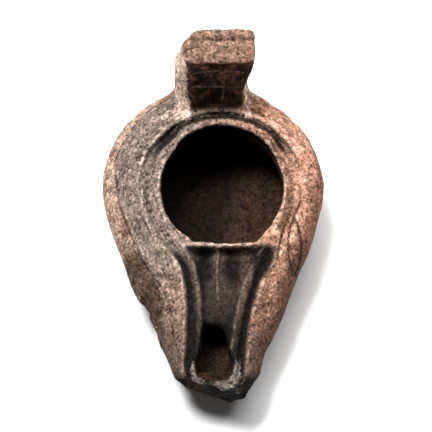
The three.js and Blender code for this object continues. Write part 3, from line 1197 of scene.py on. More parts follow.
MASKS: dict[str, Mask] = {
    # soot, with painted shade in the channel's hollows, under the cross ridge and on the nozzle's end face
    "soot_and_shade": Mask(
        (
            Zone((("key", 0.8, -0.4), ("y", -19.0, -23.0)), share=0.68),  # the channel
            Zone((("y", -19.0, -20.0),), (("from_rib", 4.0, 2.0), ("y", -24.0, 5.0)), 0.6),  # soot and painted shade in its hollows
            Zone((("from_ridge", 12.01, 11.99),), (("y", -20.2, 0.9),), 0.7),  # painted shade under the cross ridge
            Zone((("y", -18.0, -24.0),), (("key", 0.1, 0.8),)),  # the grooves beside the channel
            Zone((("y", -19.39, -19.41),), (("key", -2.3, 0.9),), -0.22),  # their worn inner ridges
            Zone((("key", 3.01, 2.99),), (("x", 13.4, 3.0), ("y", -23.5, 5.0))),  # a smear beside the hole
            Zone((BROKEN_TIP,), share=1.19),
            Zone((BROKEN_TIP, ("z", 20.5, 18.0)), share=0.51),  # thicker below the tip's upper edge, with painted shade on its end face
            Zone((), (("x", -0.6, 5.46), ("y", -48.2, 10.08)), 0.3),  # round the wick hole
            Zone((("y", -30.0, -56.0),), share=0.4),  # smoke over the whole nozzle
            Zone((("y", -20.0, -21.0), ("y", -38.0, -32.0)), (("x", 0.6, 0.9),), -0.25),  # the rib, rubbed
        ),
        most=1.4,
    ),
    "inside": Mask((Zone(OIL_SPACE), Zone((("from_hole", 0.9, 0.0), ("below", 0.79, 0.81)), share=0.6))),
    "deep": Mask((Zone((*OIL_SPACE, ("slanted", 18.0, -6.0))),)),  # painted shade on the -X side of the oil space
    "ash": Mask((Zone(LEFT_SHOULDER, share=0.3), Zone((*LEFT_SHOULDER, ("y", -40.0, -14.0)), share=0.7))),
    "flank": Mask((Zone((("y", -6.0, -24.0), ("x", -11.0, -17.0), ("out", 7.0, 3.5))),)),  # painted shade on the -X flank, by the chip
    "warm": Mask((Zone((("x", -2.0, 18.0),)),)),
    # painted shade, darker towards the bottom
    "low": Mask((Zone((("sloped", 20.5, 7.0),)),)),
    "edge": Mask((Zone((("out", 4.5, 0.8), ("x", 2.0, 16.0), ("y", 22.0, 8.0))),)),
    # painted shade in the rim's concave band on the +X side
    "gutter": Mask(
        (Zone((("x", 4.0, 14.0), ("y", -18.0, -10.0), ("below", 2.01, 1.99)), (("key", -1.6, 1.5),)),)
    ),
    # dirt towards the nozzle, with painted shade on the low front-facing flanks and the +X front shoulder
    "nozzle_dirt_and_shade": Mask(
        (Zone((("rising", 0.0, -40.0),)), Zone((("x", 15.0, 24.0), ("y", -8.0, -22.0)), share=0.6)), most=1.6
    ),
    "lip": Mask((Zone((("y", -49.0, -54.0), ("z", 17.49, 17.51)), (("slot", 0.12, 0.2),)),)),
    "top": Mask((Zone((("tipped", 45.2, 47.4),)),)),  # of the handle
    # painted shade on the front face of the handle
    "brow": Mask((Zone((("z", 26.8, 29.5), ("z", 47.4, 45.6), ("leaning", 23.6, 21.9))),)),
    "cheek": Mask(  # painted highlight on the handle
        (
            Zone((ON_HANDLE, ("z", 23.0, 30.0), ("x", -5.8, -8.8), ("z", 47.0, 44.0))),  # its -X side, which faces the light
            Zone((ON_HANDLE,), (("from_middle", 9.0, 1.6), ("z", 27.5, 4.0))),  # and both its roots
        )
    ),
}


@dataclass
class SurfaceMasks:
    """What lies where on the lamp, worked out from the form at each corner of the mesh."""

    grid: ClayGrid
    maps: Maps
    plan: LampPlan
    form: LampForm
    seam_lift: float = 0.5
    border_stops_x: float = 4.0
    drop_begins: Pair = (-8.0, 6.0)
    drop_back_begins: Pair = (4.0, 18.0)
    panel_bars: Pair = (43.2, 37.2)
    panel_upright_x: float = 1.5
    panel_half: float = 7.5
    panel_limits: Pair = (28.0, 43.5)
    panel_back_y: float = 27.5

    def measures(self, points: Array) -> Maps:
        """The measures that zones are laid out along.

        Args:
            points: Corner points.

        Returns:
            The value of each measure at each corner: millimetres, but for slot, which is the wick hole's
            own. The last six tilt with the part of the lamp that they are used on.
        """
        x, y, z = points.T
        out, key, hole = (self.grid.sample(self.maps[name], points) for name in ("out", "key", "hole"))
        deck = self.form.shoulder_top(y, out, key) + self.grid.sample(self.maps["relief"], points)
        return {
            "x": x,
            "y": y,
            "z": z,
            "out": out,
            "key": key,
            "below": deck - z,
            "slot": self.form.wick_slot(x, y, z),
            "from_hole": np.abs(hole),
            "from_rib": np.abs(x - 0.9),
            "from_middle": np.abs(x - self.form.handle.centre_x),
            "from_ridge": np.abs(x - 3.5),
            "sloped": z + 0.12 * y,
            "rising": y + 0.9 * (z - self.form.seam_height),
            "to_tip": y + 0.25 * (z - 10),
            "slanted": x - 0.3 * y,
            "tipped": z + 0.25 * (y - 30),
            "leaning": y - 0.13 * z,
        }

    def read(self, points: Array, bend: Array) -> Maps:
        """Works out every mask and the distance to every line.

        Args:
            points: Corner points.
            bend: How far each corner stands proud of the surface round it.

        Returns:
            One array for each name, of shares for a mask and of millimetres for a line.
        """
        measures = self.measures(points)
        masks = {name: mask.read(measures) for name, mask in MASKS.items()}
        # sunk holds dirt and painted shade in hollows, proud wear and painted highlight on edges, drop soot
        # and painted shade below the crest
        masks |= {"sunk": np.clip(-bend, 0, 1), "proud": np.clip(bend, 0, 1), "drop": self._drop(measures)}
        masks |= {"ring": measures["key"], "turn": self.plan.ring_turn(measures["x"], measures["y"])}
        masks |= {"panel": self._panel(points)}
        return masks | self._lines(points, measures, Zone(OIL_SPACE).read(measures) > 0.2)

    def _lines(self, points: Array, measures: Maps, inside: Array) -> Maps:
        """Distances to the border line, the crest and the veins, kept off the parts without such a line.

        Args:
            points: Corner points.
            measures: The measures there.
            inside: Which corners lie in the oil space.

        Returns:
            The distances by name.
        """
        under = measures["z"] < self.form.seam(measures["y"]) + self.seam_lift
        border, vein = (self.grid.sample(self.maps[name], points) for name in ("border", "vein"))
        no_border = inside | (measures["x"] > self.border_stops_x)
        border = np.where(no_border, np.maximum(border, 1.0), border)
        crest = np.where(inside, -5.0, np.where(under, 9.0, np.maximum(measures["key"], -5.0)))
        vein = vein + OFF_LINE * (measures["below"] > 1.5)
        return {"border": np.where(under, np.minimum(border, -1.0), border), "crest": crest, "vein": vein}

    def _drop(self, measures: Maps) -> Array:
        """Soot and painted shade below the crest, in a band that widens round the back of the rim.

        Args:
            measures: The value of each measure at each corner.

        Returns:
            Values of 0 to 1.
        """
        at_back = smoothstep(measures["y"], *self.drop_back_begins)
        band = bell(measures["key"] - 0.2 - 1.2 * at_back, 0.8 + 0.6 * at_back)
        return band * (0.35 + 0.65 * at_back) * smoothstep(measures["y"], *self.drop_begins)

    def _panel(self, points: Array) -> Array:
        """Distance to the faint lines that part the panels of the handle's front.

        Args:
            points: Corner points.

        Returns:
            The distances.
        """
        x, y, z = points.T
        across = x - self.form.handle.centre_x
        (top, bar), (lowest, highest) = self.panel_bars, self.panel_limits
        bars = np.minimum(np.abs(z - top + 0.06 * across**2 / 6), np.abs(z - bar + 0.05 * x))
        upright = np.abs(across - self.panel_upright_x - 0.06 * (z - 34))
        upright = upright + OFF_LINE * ((z < lowest + 1) | (z > highest))
        front = (y < self.panel_back_y) & (z > lowest) & (np.abs(across) < self.panel_half)
        return np.where(front, np.minimum(bars, upright), OFF_LINE)


def neighbour_mean(values: Array, edges: Array, rounds: int) -> Array:
    """Averages values with those of joined corners, again and again.

    Args:
        values: One row for each corner.
        edges: Pairs of corners.
        rounds: How often.

    Returns:
        The averaged values.
    """
    count = len(values)
    first, second = edges.T
    links = np.bincount(first, minlength=count) + np.bincount(second, minlength=count)
    links = np.maximum(links, 1)
    for _ in range(rounds):
        total = np.stack(
            [
                np.bincount(first, column[second], count) + np.bincount(second, column[first], count)
                for column in values.T
            ],
            axis=1,
        )
        values = 0.5 * values + 0.5 * total / links[:, None]
    return values


# ---------------------------------------------------------------- finishes


class Noise(Enum):
    """The random patterns that break up the finish, from broad to fine, and two drawn-out ones."""

    CLOUD = "cloud"
    PATCH = "patch"
    MOTTLE = "mottle"
    GRIT = "grit"
    DUST = "dust"
    STREAK = "streak"
    STRIA = "stria"


@dataclass(frozen=True)
class Coat:
    """One colour laid over the coats before it, where a mask and a noise together pass a threshold.

    Args:
        colour: Its sRGB hex colour.
        over: The sums of mask and noise at which it begins and is full.
        strength: How much it hides when full.
        mask: The stored mask that it follows, if any.
        noise: The noise that breaks its edge up.
        share: How much of the noise is added to the mask.
    """

    colour: str
    over: Pair
    strength: float = 1.0
    mask: str | None = None
    noise: Noise = Noise.MOTTLE
    share: float = 1.0


@dataclass(frozen=True)
class Line:
    """One thin line, broken where it has worn away: a dark mark along an incised line, or an edge rubbed pale
    with painted highlight.

    Args:
        colour: Its sRGB hex colour.
        along: The stored distance that it follows.
        at_mm: The distance at which it lies.
        half_mm: Half its width.
        strength: How much it hides.
        worn: The values of the patch noise between which it fades out.
    """

    colour: str
    along: str
    at_mm: float
    half_mm: float
    strength: float
    worn: Pair = (0.35, 0.55)


@dataclass(frozen=True)
class FiredClay:
    """Unglazed, mould-pressed buff to orange clay with lime and sand in it.

    To the eye it is dry and chalky: no gloss, a fine grit that breaks the light, small dark pits where
    grains have dropped out, ash-grey bloom where it lay in a fire's ash, and velvet black where it burned.
    Some coats paint shade into pits, hollows, the oil space and faces turned from the light, and paint
    highlights on worn edges and on the handle's -X side.
    """

    name: str = "fired_clay_ash_and_soot"
    bare: str = "a58a79"
    noise_mm: tuple[tuple[Noise, float, float], ...] = (
        (Noise.CLOUD, 13.0, 2.0),
        (Noise.PATCH, 5.0, 4.0),
        (Noise.MOTTLE, 2.0, 4.0),
        (Noise.GRIT, 0.8, 3.0),  # sand of 0.2 to 0.5 mm, drawn coarser so that it shows
        (Noise.DUST, 0.42, 2.0),  # chalky dust, drawn far coarser for the same reason
    )
    streaks: tuple[tuple[Noise, tuple[float, float, float]], ...] = (
        (Noise.STREAK, (1.6, 0.14, 0.0)),  # drawn out along the ring
        (Noise.STRIA, (0.25, 1.5, 0.0)),  # drawn out across the ring
    )
    coats: tuple[Coat, ...] = (
        Coat("bb8970", (0.1, 0.9), 0.9, "warm", Noise.CLOUD, 1.6),  # lighter, warmer clay on the +X side
        Coat("74503f", (0.5, 0.62), 0.6, None, Noise.PATCH),  # brown fire clouds
        Coat("b5978a", (0.55, 0.65), 0.5, None, Noise.MOTTLE),  # paler clay rubbed through
        Coat("786b62", (0.3, 0.9), 0.85, "ash", Noise.STREAK, 1.6),  # grey ash bloom on the -X shoulder
        Coat("4a382d", (0.54, 0.66), 0.4, None, Noise.STREAK),  # dark streaks along the ring
        Coat("271f19", (1.02, 1.16), 0.65, "ash", Noise.STREAK, 1.6),  # and darker ones in the ash
        Coat("5a4536", (0.15, 0.8), 0.8, "gutter", Noise.STRIA, 1.4),  # painted shade in the rim's concave band on the +X side
        Coat("7d4d38", (0.3, 0.9), 0.65, "edge", Noise.PATCH, 1.2),  # red-brown clay round the +X edge
        Coat("6d4f3e", (0.4, 1.0), 0.8, "low", Noise.PATCH, 0.9),  # painted shade on the under side, darker towards the bottom
        Coat("4d392e", (0.3, 0.95), 0.62, "nozzle_dirt_and_shade", Noise.PATCH, 1.2),  # handled, oily clay towards the nozzle, with painted shade on the low front-facing flanks
        Coat("3f2e24", (0.35, 1.0), 0.85, "flank", Noise.PATCH, 1.4),  # painted shade in brown on the chipped -X flank
        Coat("2f241d", (0.2, 0.8), 0.7, "sunk", Noise.GRIT, 1.0),  # dirt and painted shade in hollows
        Coat("c0a898", (0.3, 0.8), 0.7, "proud", Noise.MOTTLE, 0.6),  # edges worn pale, with painted highlight
        Coat("19120e", (0.2, 0.75), 0.95, "drop", Noise.MOTTLE, 0.6),  # soot and painted shade below the crest
        Coat("6f5445", (0.4, 1.0), 0.7, "top", Noise.MOTTLE, 0.7),  # darker brown over the top of the handle
        Coat("3b322d", (0.12, 0.6), 0.85, "soot_and_shade", Noise.MOTTLE, 1.5),  # thin soot and painted shade, brown-grey
        Coat("141211", (0.6, 1.0), 0.95, "soot_and_shade", Noise.GRIT, 2.0),  # thick soot and painted shade, near black
        Coat("5a3625", (0.25, 0.8), 0.92, "brow", Noise.GRIT, 1.2),  # painted shade on the front of the handle
        Coat("1b120d", (0.7, 1.2), 0.85, "brow", Noise.PATCH, 2.0),  # its darkest painted shade, in patches
        Coat("d6b9a8", (0.3, 0.8), 0.8, "cheek", Noise.GRIT, 0.9),  # painted highlight on the -X side and the roots of the handle
        Coat("2a1c14", (0.3, 0.7), 0.95, "inside", Noise.MOTTLE, 0.7),  # dark inner face of the oil space
        Coat("0d0806", (0.2, 0.9), 0.85, "deep", Noise.GRIT, 0.8),  # painted shade, near black, on the -X side of the oil space
        Coat("9a8d83", (0.3, 0.9), 0.55, "lip", Noise.GRIT, 1.4),  # ash-pale lip at the wick hole's near end
        Coat("231a15", (0.35, 0.8), 0.9, "pit", Noise.GRIT, 0.6),  # painted shade in pits where grains dropped out, and in the punched dots
        Coat("e2d6c8", (0.4, 0.9), 0.8, "grain", Noise.GRIT, 0.2),  # lime grains
    )
    lines: tuple[Line, ...] = (
        Line("2a1f1a", "border", 0.0, 0.3, 0.8),  # border line
        Line("33251e", "vein", 0.0, 0.36, 0.9, (0.25, 0.4)),  # leaf veins
        Line("cbb8a8", "crest", 1.9, 0.3, 0.3, (0.45, 0.65)),  # worn crest of the rim and channel, with painted highlight
        Line("b5a597", "crest", -2.9, 0.35, 0.3, (0.45, 0.65)),  # worn inner ridge, with painted highlight
        Line("9a8170", "panel", 0.0, 0.3, 0.4, (0.3, 0.5)),  # faint lines in the handle's front
    )
    noise_roughness: float = 0.65
    streak_roughness: float = 0.7
    streak_distortion: float = 0.5
    noise_spread: Pair = (0.34, 0.66)
    mottle_value: Pair = (0.45, 1.36)
    grit_value: Pair = (0.25, 1.66)
    roughness: float = 0.94
    shine: float = 0.08
    bump_mm: float = 0.3

    def material(self) -> bpy.types.Material:
        """Builds the finish.

        Returns:
            The material, which reads the masks stored on the mesh.
        """
        made = bpy.data.materials.new(self.name)
        made.use_nodes = True
        tree = made.node_tree
        tree.nodes.clear()
        noises = self._noises(tree)
        colour = self._lined(tree, noises, self._coated(tree, noises))
        low, high = self.noise_spread
        for name, (dark, light) in ((Noise.MOTTLE, self.mottle_value), (Noise.GRIT, self.grit_value)):
            limits = {"Value": noises[name], 1: low, 2: high, 3: dark, 4: light}
            shade = add_node(tree, "ShaderNodeMapRange", limits).outputs[0]
            shaded = {0: colour, "Scale": shade}
            colour = add_node(tree, "ShaderNodeVectorMath", shaded, operation="SCALE").outputs[0]
        both = {0: noises[Noise.GRIT], 1: noises[Noise.DUST]}
        height = add_node(tree, "ShaderNodeMath", both, operation="ADD").outputs[0]
        bump = add_node(tree, "ShaderNodeBump", {"Distance": self.bump_mm * MM, "Height": height}).outputs[0]
        surface = {
            "Base Color": colour,
            "Roughness": self.roughness,
            "Specular IOR Level": self.shine,
            "Normal": bump,
        }
        shader = add_node(tree, "ShaderNodeBsdfPrincipled", surface)
        add_node(tree, "ShaderNodeOutputMaterial", {"Surface": shader.outputs[0]})
        return made

    def _noises(self, tree: Tree) -> dict[Noise, Socket]:
        """Adds every noise that the coats use.

        Args:
            tree: The material's tree.

        Returns:
            The noises' sockets by name.
        """
        metres = add_node(tree, "ShaderNodeTexCoord").outputs["Object"]
        to_mm = {0: metres, "Scale": 1 / MM}
        place = add_node(tree, "ShaderNodeVectorMath", to_mm, operation="SCALE").outputs[0]
        noises = {}
        for name, size, detail in self.noise_mm:
            values = {"Vector": place, "Scale": 1 / size, "Detail": detail, "Roughness": self.noise_roughness}
            noises[name] = add_node(tree, "ShaderNodeTexNoise", values).outputs["Fac"]
        ring = add_node(tree, "ShaderNodeAttribute", attribute_name="ring").outputs["Fac"]
        turn = add_node(tree, "ShaderNodeAttribute", attribute_name="turn").outputs["Fac"]
        along = add_node(tree, "ShaderNodeCombineXYZ", {"X": ring, "Y": turn}).outputs[0]
        for name, scale in self.streaks:
            drawn = add_node(tree, "ShaderNodeMapping", {"Vector": along, "Scale": scale}).outputs[0]
            values = {
                "Vector": drawn,
                "Scale": 1.0,
                "Detail": 4.0,
                "Roughness": self.streak_roughness,
                "Distortion": self.streak_distortion,
            }
            noises[name] = add_node(tree, "ShaderNodeTexNoise", values).outputs["Fac"]
        return noises

    def _coated(self, tree: Tree, noises: dict[Noise, Socket]) -> Socket:
        """Lays the coats over the bare clay, one after another.

        Args:
            tree: The material's tree.
            noises: The noises' sockets by name.

        Returns:
            The colour socket.
        """
        colour = linear(self.bare)
        for coat in self.coats:
            amount = noises[coat.noise]
            if coat.mask:
                mask = add_node(tree, "ShaderNodeAttribute", attribute_name=coat.mask).outputs["Fac"]
                centred = {0: amount, 1: coat.share, 2: -0.5 * coat.share}
                swing = add_node(tree, "ShaderNodeMath", centred, operation="MULTIPLY_ADD").outputs[0]
                amount = add_node(tree, "ShaderNodeMath", {0: mask, 1: swing}, operation="ADD").outputs[0]
            limits = {"Value": amount, 1: coat.over[0], 2: coat.over[1], 3: 0.0, 4: coat.strength}
            share = add_node(tree, "ShaderNodeMapRange", limits, interpolation_type="SMOOTHSTEP").outputs[0]
            layers = {"Factor": share, "A": colour, "B": linear(coat.colour)}
            colour = add_node(tree, "ShaderNodeMix", layers, data_type="RGBA").outputs["Result"]
        return colour

    def _lined(
        self,
        tree: Tree,
        noises: dict[Noise, Socket],
        colour: Socket,
    ) -> Socket:
        """Draws the thin lines over the coats.

        Args:
            tree: The material's tree.
            noises: The noises' sockets by name.
            colour: The coated colour.

        Returns:
            The colour socket.
        """
        for line in self.lines:
            place = add_node(tree, "ShaderNodeAttribute", attribute_name=line.along).outputs["Fac"]
            off = add_node(tree, "ShaderNodeMath", {0: place, 1: line.at_mm}, operation="SUBTRACT").outputs[0]
            off = add_node(tree, "ShaderNodeMath", {0: off}, operation="ABSOLUTE").outputs[0]
            limits = {"Value": off, 1: 0.5 * line.half_mm, 2: 1.5 * line.half_mm, 3: line.strength, 4: 0.0}
            mark = add_node(tree, "ShaderNodeMapRange", limits).outputs[0]
            limits = {"Value": noises[Noise.PATCH], 1: line.worn[0], 2: line.worn[1]}
            left = add_node(tree, "ShaderNodeMapRange", limits).outputs[0]
            share = add_node(tree, "ShaderNodeMath", {0: mark, 1: left}, operation="MULTIPLY").outputs[0]
            layers = {"Factor": share, "A": colour, "B": linear(line.colour)}
            colour = add_node(tree, "ShaderNodeMix", layers, data_type="RGBA").outputs["Result"]
        return colour


@dataclass(frozen=True)
class MattPaint:
    """Matt white paint on the table top.

    To the eye it is an even bright white without gloss, so that only the lamp's own shadow marks it.
    """

    name: str = "matt_white_table"
    colour: str = "fdfdfd"
    roughness: float = 0.9

    def material(self) -> bpy.types.Material:
        """Builds the finish.

        Returns:
            The material.
        """
        made = bpy.data.materials.new(self.name)
        made.use_nodes = True
        surface = made.node_tree.nodes["Principled BSDF"]
        surface.inputs["Base Color"].default_value = linear(self.colour)
        surface.inputs["Roughness"].default_value = self.roughness
        return made


# ---------------------------------------------------------------- the lamp


@dataclass
class PressedTexture:
    """Geometry Nodes that press fine pits and punched dots into the clay and bed lime grains in it."""

    pit_spacing: float = 2.1
    pit_depth: float = 0.3
    pit_patch: float = 4.0
    pit_patches: Pair = (0.44, 0.6)
    pit_reach: Pair = (0.1, 0.34)
    pit_core: float = 0.06
    dot_spacing: float = 2.2
    dot_radius: float = 0.9
    dot_depth: float = 0.45
    dot_arc: Pair = (105.0, 130.0)
    dot_outside: float = 0.4
    dot_shake: float = 0.5
    grain_density: float = 0.03
    grain_size: float = 0.2
    grain_limit: float = 0.15
    seed: int = 7

    def tree(self, plan: LampPlan, dot_height: float) -> Tree:
        """Builds the node tree.

        Args:
            plan: The plan curves, for the row of dots.
            dot_height: Height of the row of dots.

        Returns:
            The tree, whose inputs are its sizes and the material.
        """
        tree = bpy.data.node_groups.new("pressed_clay_texture", "GeometryNodeTree")
        sockets = tree.interface
        sockets.new_socket("Geometry", in_out="INPUT", socket_type="NodeSocketGeometry")
        for name in ("Pit spacing", "Pit depth", "Dot radius", "Dot depth", "Grain density", "Grain size"):
            sockets.new_socket(name, in_out="INPUT", socket_type="NodeSocketFloat")
        sockets.new_socket("Dot count", in_out="INPUT", socket_type="NodeSocketInt")
        sockets.new_socket("Seed", in_out="INPUT", socket_type="NodeSocketInt")
        sockets.new_socket("Clay", in_out="INPUT", socket_type="NodeSocketMaterial")
        sockets.new_socket("Geometry", in_out="OUTPUT", socket_type="NodeSocketGeometry")
        given = add_node(tree, "NodeGroupInput").outputs
        pits = self._pits(tree, given)
        dots = self._dots(tree, given, plan, dot_height)
        pressed = self._pressed(tree, given, pits, dots)
        grains = self._grains(tree, given, pressed)
        joined = add_node(tree, "GeometryNodeJoinGeometry")
        tree.links.new(grains, joined.inputs[0])
        tree.links.new(pressed, joined.inputs[0])
        real = add_node(tree, "GeometryNodeRealizeInstances", {0: joined.outputs[0]}).outputs[0]
        dressed = add_node(tree, "GeometryNodeSetMaterial", {"Geometry": real, "Material": given["Clay"]})
        add_node(tree, "NodeGroupOutput", {0: dressed.outputs[0]})
        return tree

    def _pits(self, tree: Tree, given: bpy.types.bpy_prop_collection) -> Socket:
        """Small round pits, in patches, where grains have dropped out of the clay.

        Args:
            tree: The tree.
            given: The tree's inputs.

        Returns:
            A socket that is 1 in the middle of a pit.
        """
        place = add_node(tree, "GeometryNodeInputPosition").outputs[0]
        share = {0: 1.0, 1: given["Pit spacing"]}
        spread = add_node(tree, "ShaderNodeMath", share, operation="DIVIDE").outputs[0]
        cells = add_node(tree, "ShaderNodeTexVoronoi", {"Vector": place, "Scale": spread}).outputs["Distance"]
        values = {"Vector": place, "Scale": 1 / (self.pit_patch * MM), "Detail": 4.0}
        patches = add_node(tree, "ShaderNodeTexNoise", values)
        (start, end), (least, most) = self.pit_patches, self.pit_reach
        limits = {"Value": patches.outputs["Fac"], 1: start, 2: end, 3: least, 4: most}
        reach = add_node(tree, "ShaderNodeMapRange", limits).outputs[0]
        limits = {"Value": cells, 1: self.pit_core, 2: reach, 3: 1.0, 4: 0.0}
        return add_node(tree, "ShaderNodeMapRange", limits, interpolation_type="SMOOTHSTEP").outputs[0]

    def _dots(
        self,
        tree: Tree,
        given: bpy.types.bpy_prop_collection,
        plan: LampPlan,
        dot_height: float,
    ) -> Socket:
        """Dots punched one by one along the -X side of the rim's groove.

        Args:
            tree: The tree.
            given: The tree's inputs.
            plan: The plan curves.
            dot_height: Height of the row of dots.

        Returns:
            A socket that is 1 in the middle of a dot.
        """
        start, sweep = (math.radians(angle) for angle in self.dot_arc)
        radius = (plan.rim_radius + self.dot_outside) * MM
        sizes = {"Radius": radius, "Start Angle": start, "Sweep Angle": sweep}
        arc = add_node(tree, "GeometryNodeCurveArc", {**sizes, "Resolution": 64}, mode="RADIUS").outputs[0]
        middle = (plan.rim_centre[0] * MM, plan.rim_centre[1] * MM, dot_height * MM)
        arc = add_node(tree, "GeometryNodeTransform", {"Geometry": arc, "Translation": middle}).outputs[0]
        values = {"Curve": arc, "Count": given["Dot count"]}
        row = add_node(tree, "GeometryNodeCurveToPoints", values, mode="COUNT").outputs[0]
        far = self.dot_shake * MM
        values = {0: (-far, -far, 0.0), 1: (far, far, 0.0), "Seed": given["Seed"]}
        shake = add_node(tree, "FunctionNodeRandomValue", values, data_type="FLOAT_VECTOR").outputs[0]
        row = add_node(tree, "GeometryNodeSetPosition", {"Geometry": row, "Offset": shake}).outputs[0]
        near = add_node(tree, "GeometryNodeProximity", {0: row}, target_element="POINTS").outputs["Distance"]
        limits = {"Value": near, 1: 0.1 * MM, 2: given["Dot radius"], 3: 1.0, 4: 0.0}
        return add_node(tree, "ShaderNodeMapRange", limits, interpolation_type="SMOOTHSTEP").outputs[0]

    @staticmethod
    def _pressed(
        tree: Tree,
        given: bpy.types.bpy_prop_collection,
        pits: Socket,
        dots: Socket,
    ) -> Socket:
        """Presses pits and dots into the clay, and notes where they are for the finish.

        Args:
            tree: The tree.
            given: The tree's inputs.
            pits: 1 in the middle of a pit.
            dots: 1 in the middle of a dot.

        Returns:
            The pressed mesh.
        """
        both = add_node(tree, "ShaderNodeMath", {0: pits, 1: dots}, operation="MAXIMUM").outputs[0]
        values = {"Geometry": given["Geometry"], "Name": "pit", "Value": both}
        noted = add_node(tree, "GeometryNodeStoreNamedAttribute", values, data_type="FLOAT", domain="POINT")
        pit_depth = add_node(tree, "ShaderNodeMath", {0: pits, 1: given["Pit depth"]}, operation="MULTIPLY")
        dot_depth = add_node(tree, "ShaderNodeMath", {0: dots, 1: given["Dot depth"]}, operation="MULTIPLY")
        values = {0: pit_depth.outputs[0], 1: dot_depth.outputs[0]}
        depth = add_node(tree, "ShaderNodeMath", values, operation="MAXIMUM").outputs[0]
        back = add_node(tree, "ShaderNodeMath", {0: depth, 1: -1.0}, operation="MULTIPLY").outputs[0]
        normal = add_node(tree, "GeometryNodeInputNormal").outputs[0]
        inwards = {0: normal, "Scale": back}
        push = add_node(tree, "ShaderNodeVectorMath", inwards, operation="SCALE").outputs[0]
        moved = {"Geometry": noted.outputs[0], "Offset": push}
        return add_node(tree, "GeometryNodeSetPosition", moved).outputs[0]

    def _grains(
        self,
        tree: Tree,
        given: bpy.types.bpy_prop_collection,
        pressed: Socket,
    ) -> Socket:
        """Lime grains bedded in the clay, kept off the oil space, the sooty parts and the painted shade on
        the handle's front.

        Args:
            tree: The tree.
            given: The tree's inputs.
            pressed: The pressed mesh.

        Returns:
            The grains, as instances.
        """
        clean = 1.0
        for name in ("inside", "soot_and_shade", "brow"):
            mask = add_node(tree, "GeometryNodeInputNamedAttribute", {"Name": name}, data_type="FLOAT")
            values = {0: mask.outputs[0], 1: self.grain_limit}
            spoilt = add_node(tree, "ShaderNodeMath", values, operation="GREATER_THAN").outputs[0]
            clean = add_node(tree, "ShaderNodeMath", {0: clean, 1: spoilt}, operation="SUBTRACT").outputs[0]
        shown = add_node(tree, "ShaderNodeMath", {0: clean, 1: 0.5}, operation="GREATER_THAN").outputs[0]
        density = {0: shown, 1: given["Grain density"]}
        density = add_node(tree, "ShaderNodeMath", density, operation="MULTIPLY").outputs[0]
        values = {"Mesh": pressed, "Density": density, "Seed": given["Seed"]}
        spots = add_node(tree, "GeometryNodeDistributePointsOnFaces", values, distribute_method="RANDOM")
        ball = {"Radius": given["Grain size"], "Subdivisions": 1}
        ball = add_node(tree, "GeometryNodeMeshIcoSphere", ball).outputs[0]
        values = {"Geometry": ball, "Name": "grain", "Value": 1.0}
        ball = add_node(tree, "GeometryNodeStoreNamedAttribute", values, data_type="FLOAT", domain="POINT")
        values = {2: 0.4, 3: 1.0, "Seed": given["Seed"]}
        size = add_node(tree, "FunctionNodeRandomValue", values, data_type="FLOAT").outputs[1]
        values = {"Points": spots.outputs[0], "Instance": ball.outputs[0], "Scale": size}
        return add_node(tree, "GeometryNodeInstanceOnPoints", values).outputs[0]

    def press(
        self,
        piece: bpy.types.Object,
        plan: LampPlan,
        dot_height: float,
        clay: bpy.types.Material,
    ) -> None:
        """Runs the tree on a piece and keeps the result as its plain mesh.

        Args:
            piece: The object to press.
            plan: The plan curves.
            dot_height: Height of the row of dots.
            clay: The finish.
        """
        modifier = piece.modifiers.new("pressed_clay_texture", "NODES")
        modifier.node_group = self.tree(plan, dot_height)
        run = (plan.rim_radius + self.dot_outside) * math.radians(self.dot_arc[1])
        values = {
            "Pit spacing": self.pit_spacing * MM,
            "Pit depth": self.pit_depth * MM,
            "Dot radius": self.dot_radius * MM,
            "Dot depth": self.dot_depth * MM,
            "Grain density": self.grain_density / MM**2,
            "Grain size": self.grain_size * MM,
            "Dot count": round(run / self.dot_spacing),
            "Seed": self.seed,
            "Clay": clay,
        }
        for item in modifier.node_group.interface.items_tree:
            if item.in_out == "INPUT" and item.name in values:
                modifier[item.identifier] = values[item.name]
        keep_evaluated(piece)


def keep_evaluated(piece: bpy.types.Object) -> None:
    """Makes a piece's modifiers real: its mesh becomes what they show, and they go.

    Args:
        piece: The object.
    """
    graph = bpy.context.evaluated_depsgraph_get()
    made = bpy.data.meshes.new_from_object(piece.evaluated_get(graph), depsgraph=graph)
    piece.modifiers.clear()
    piece.data = made


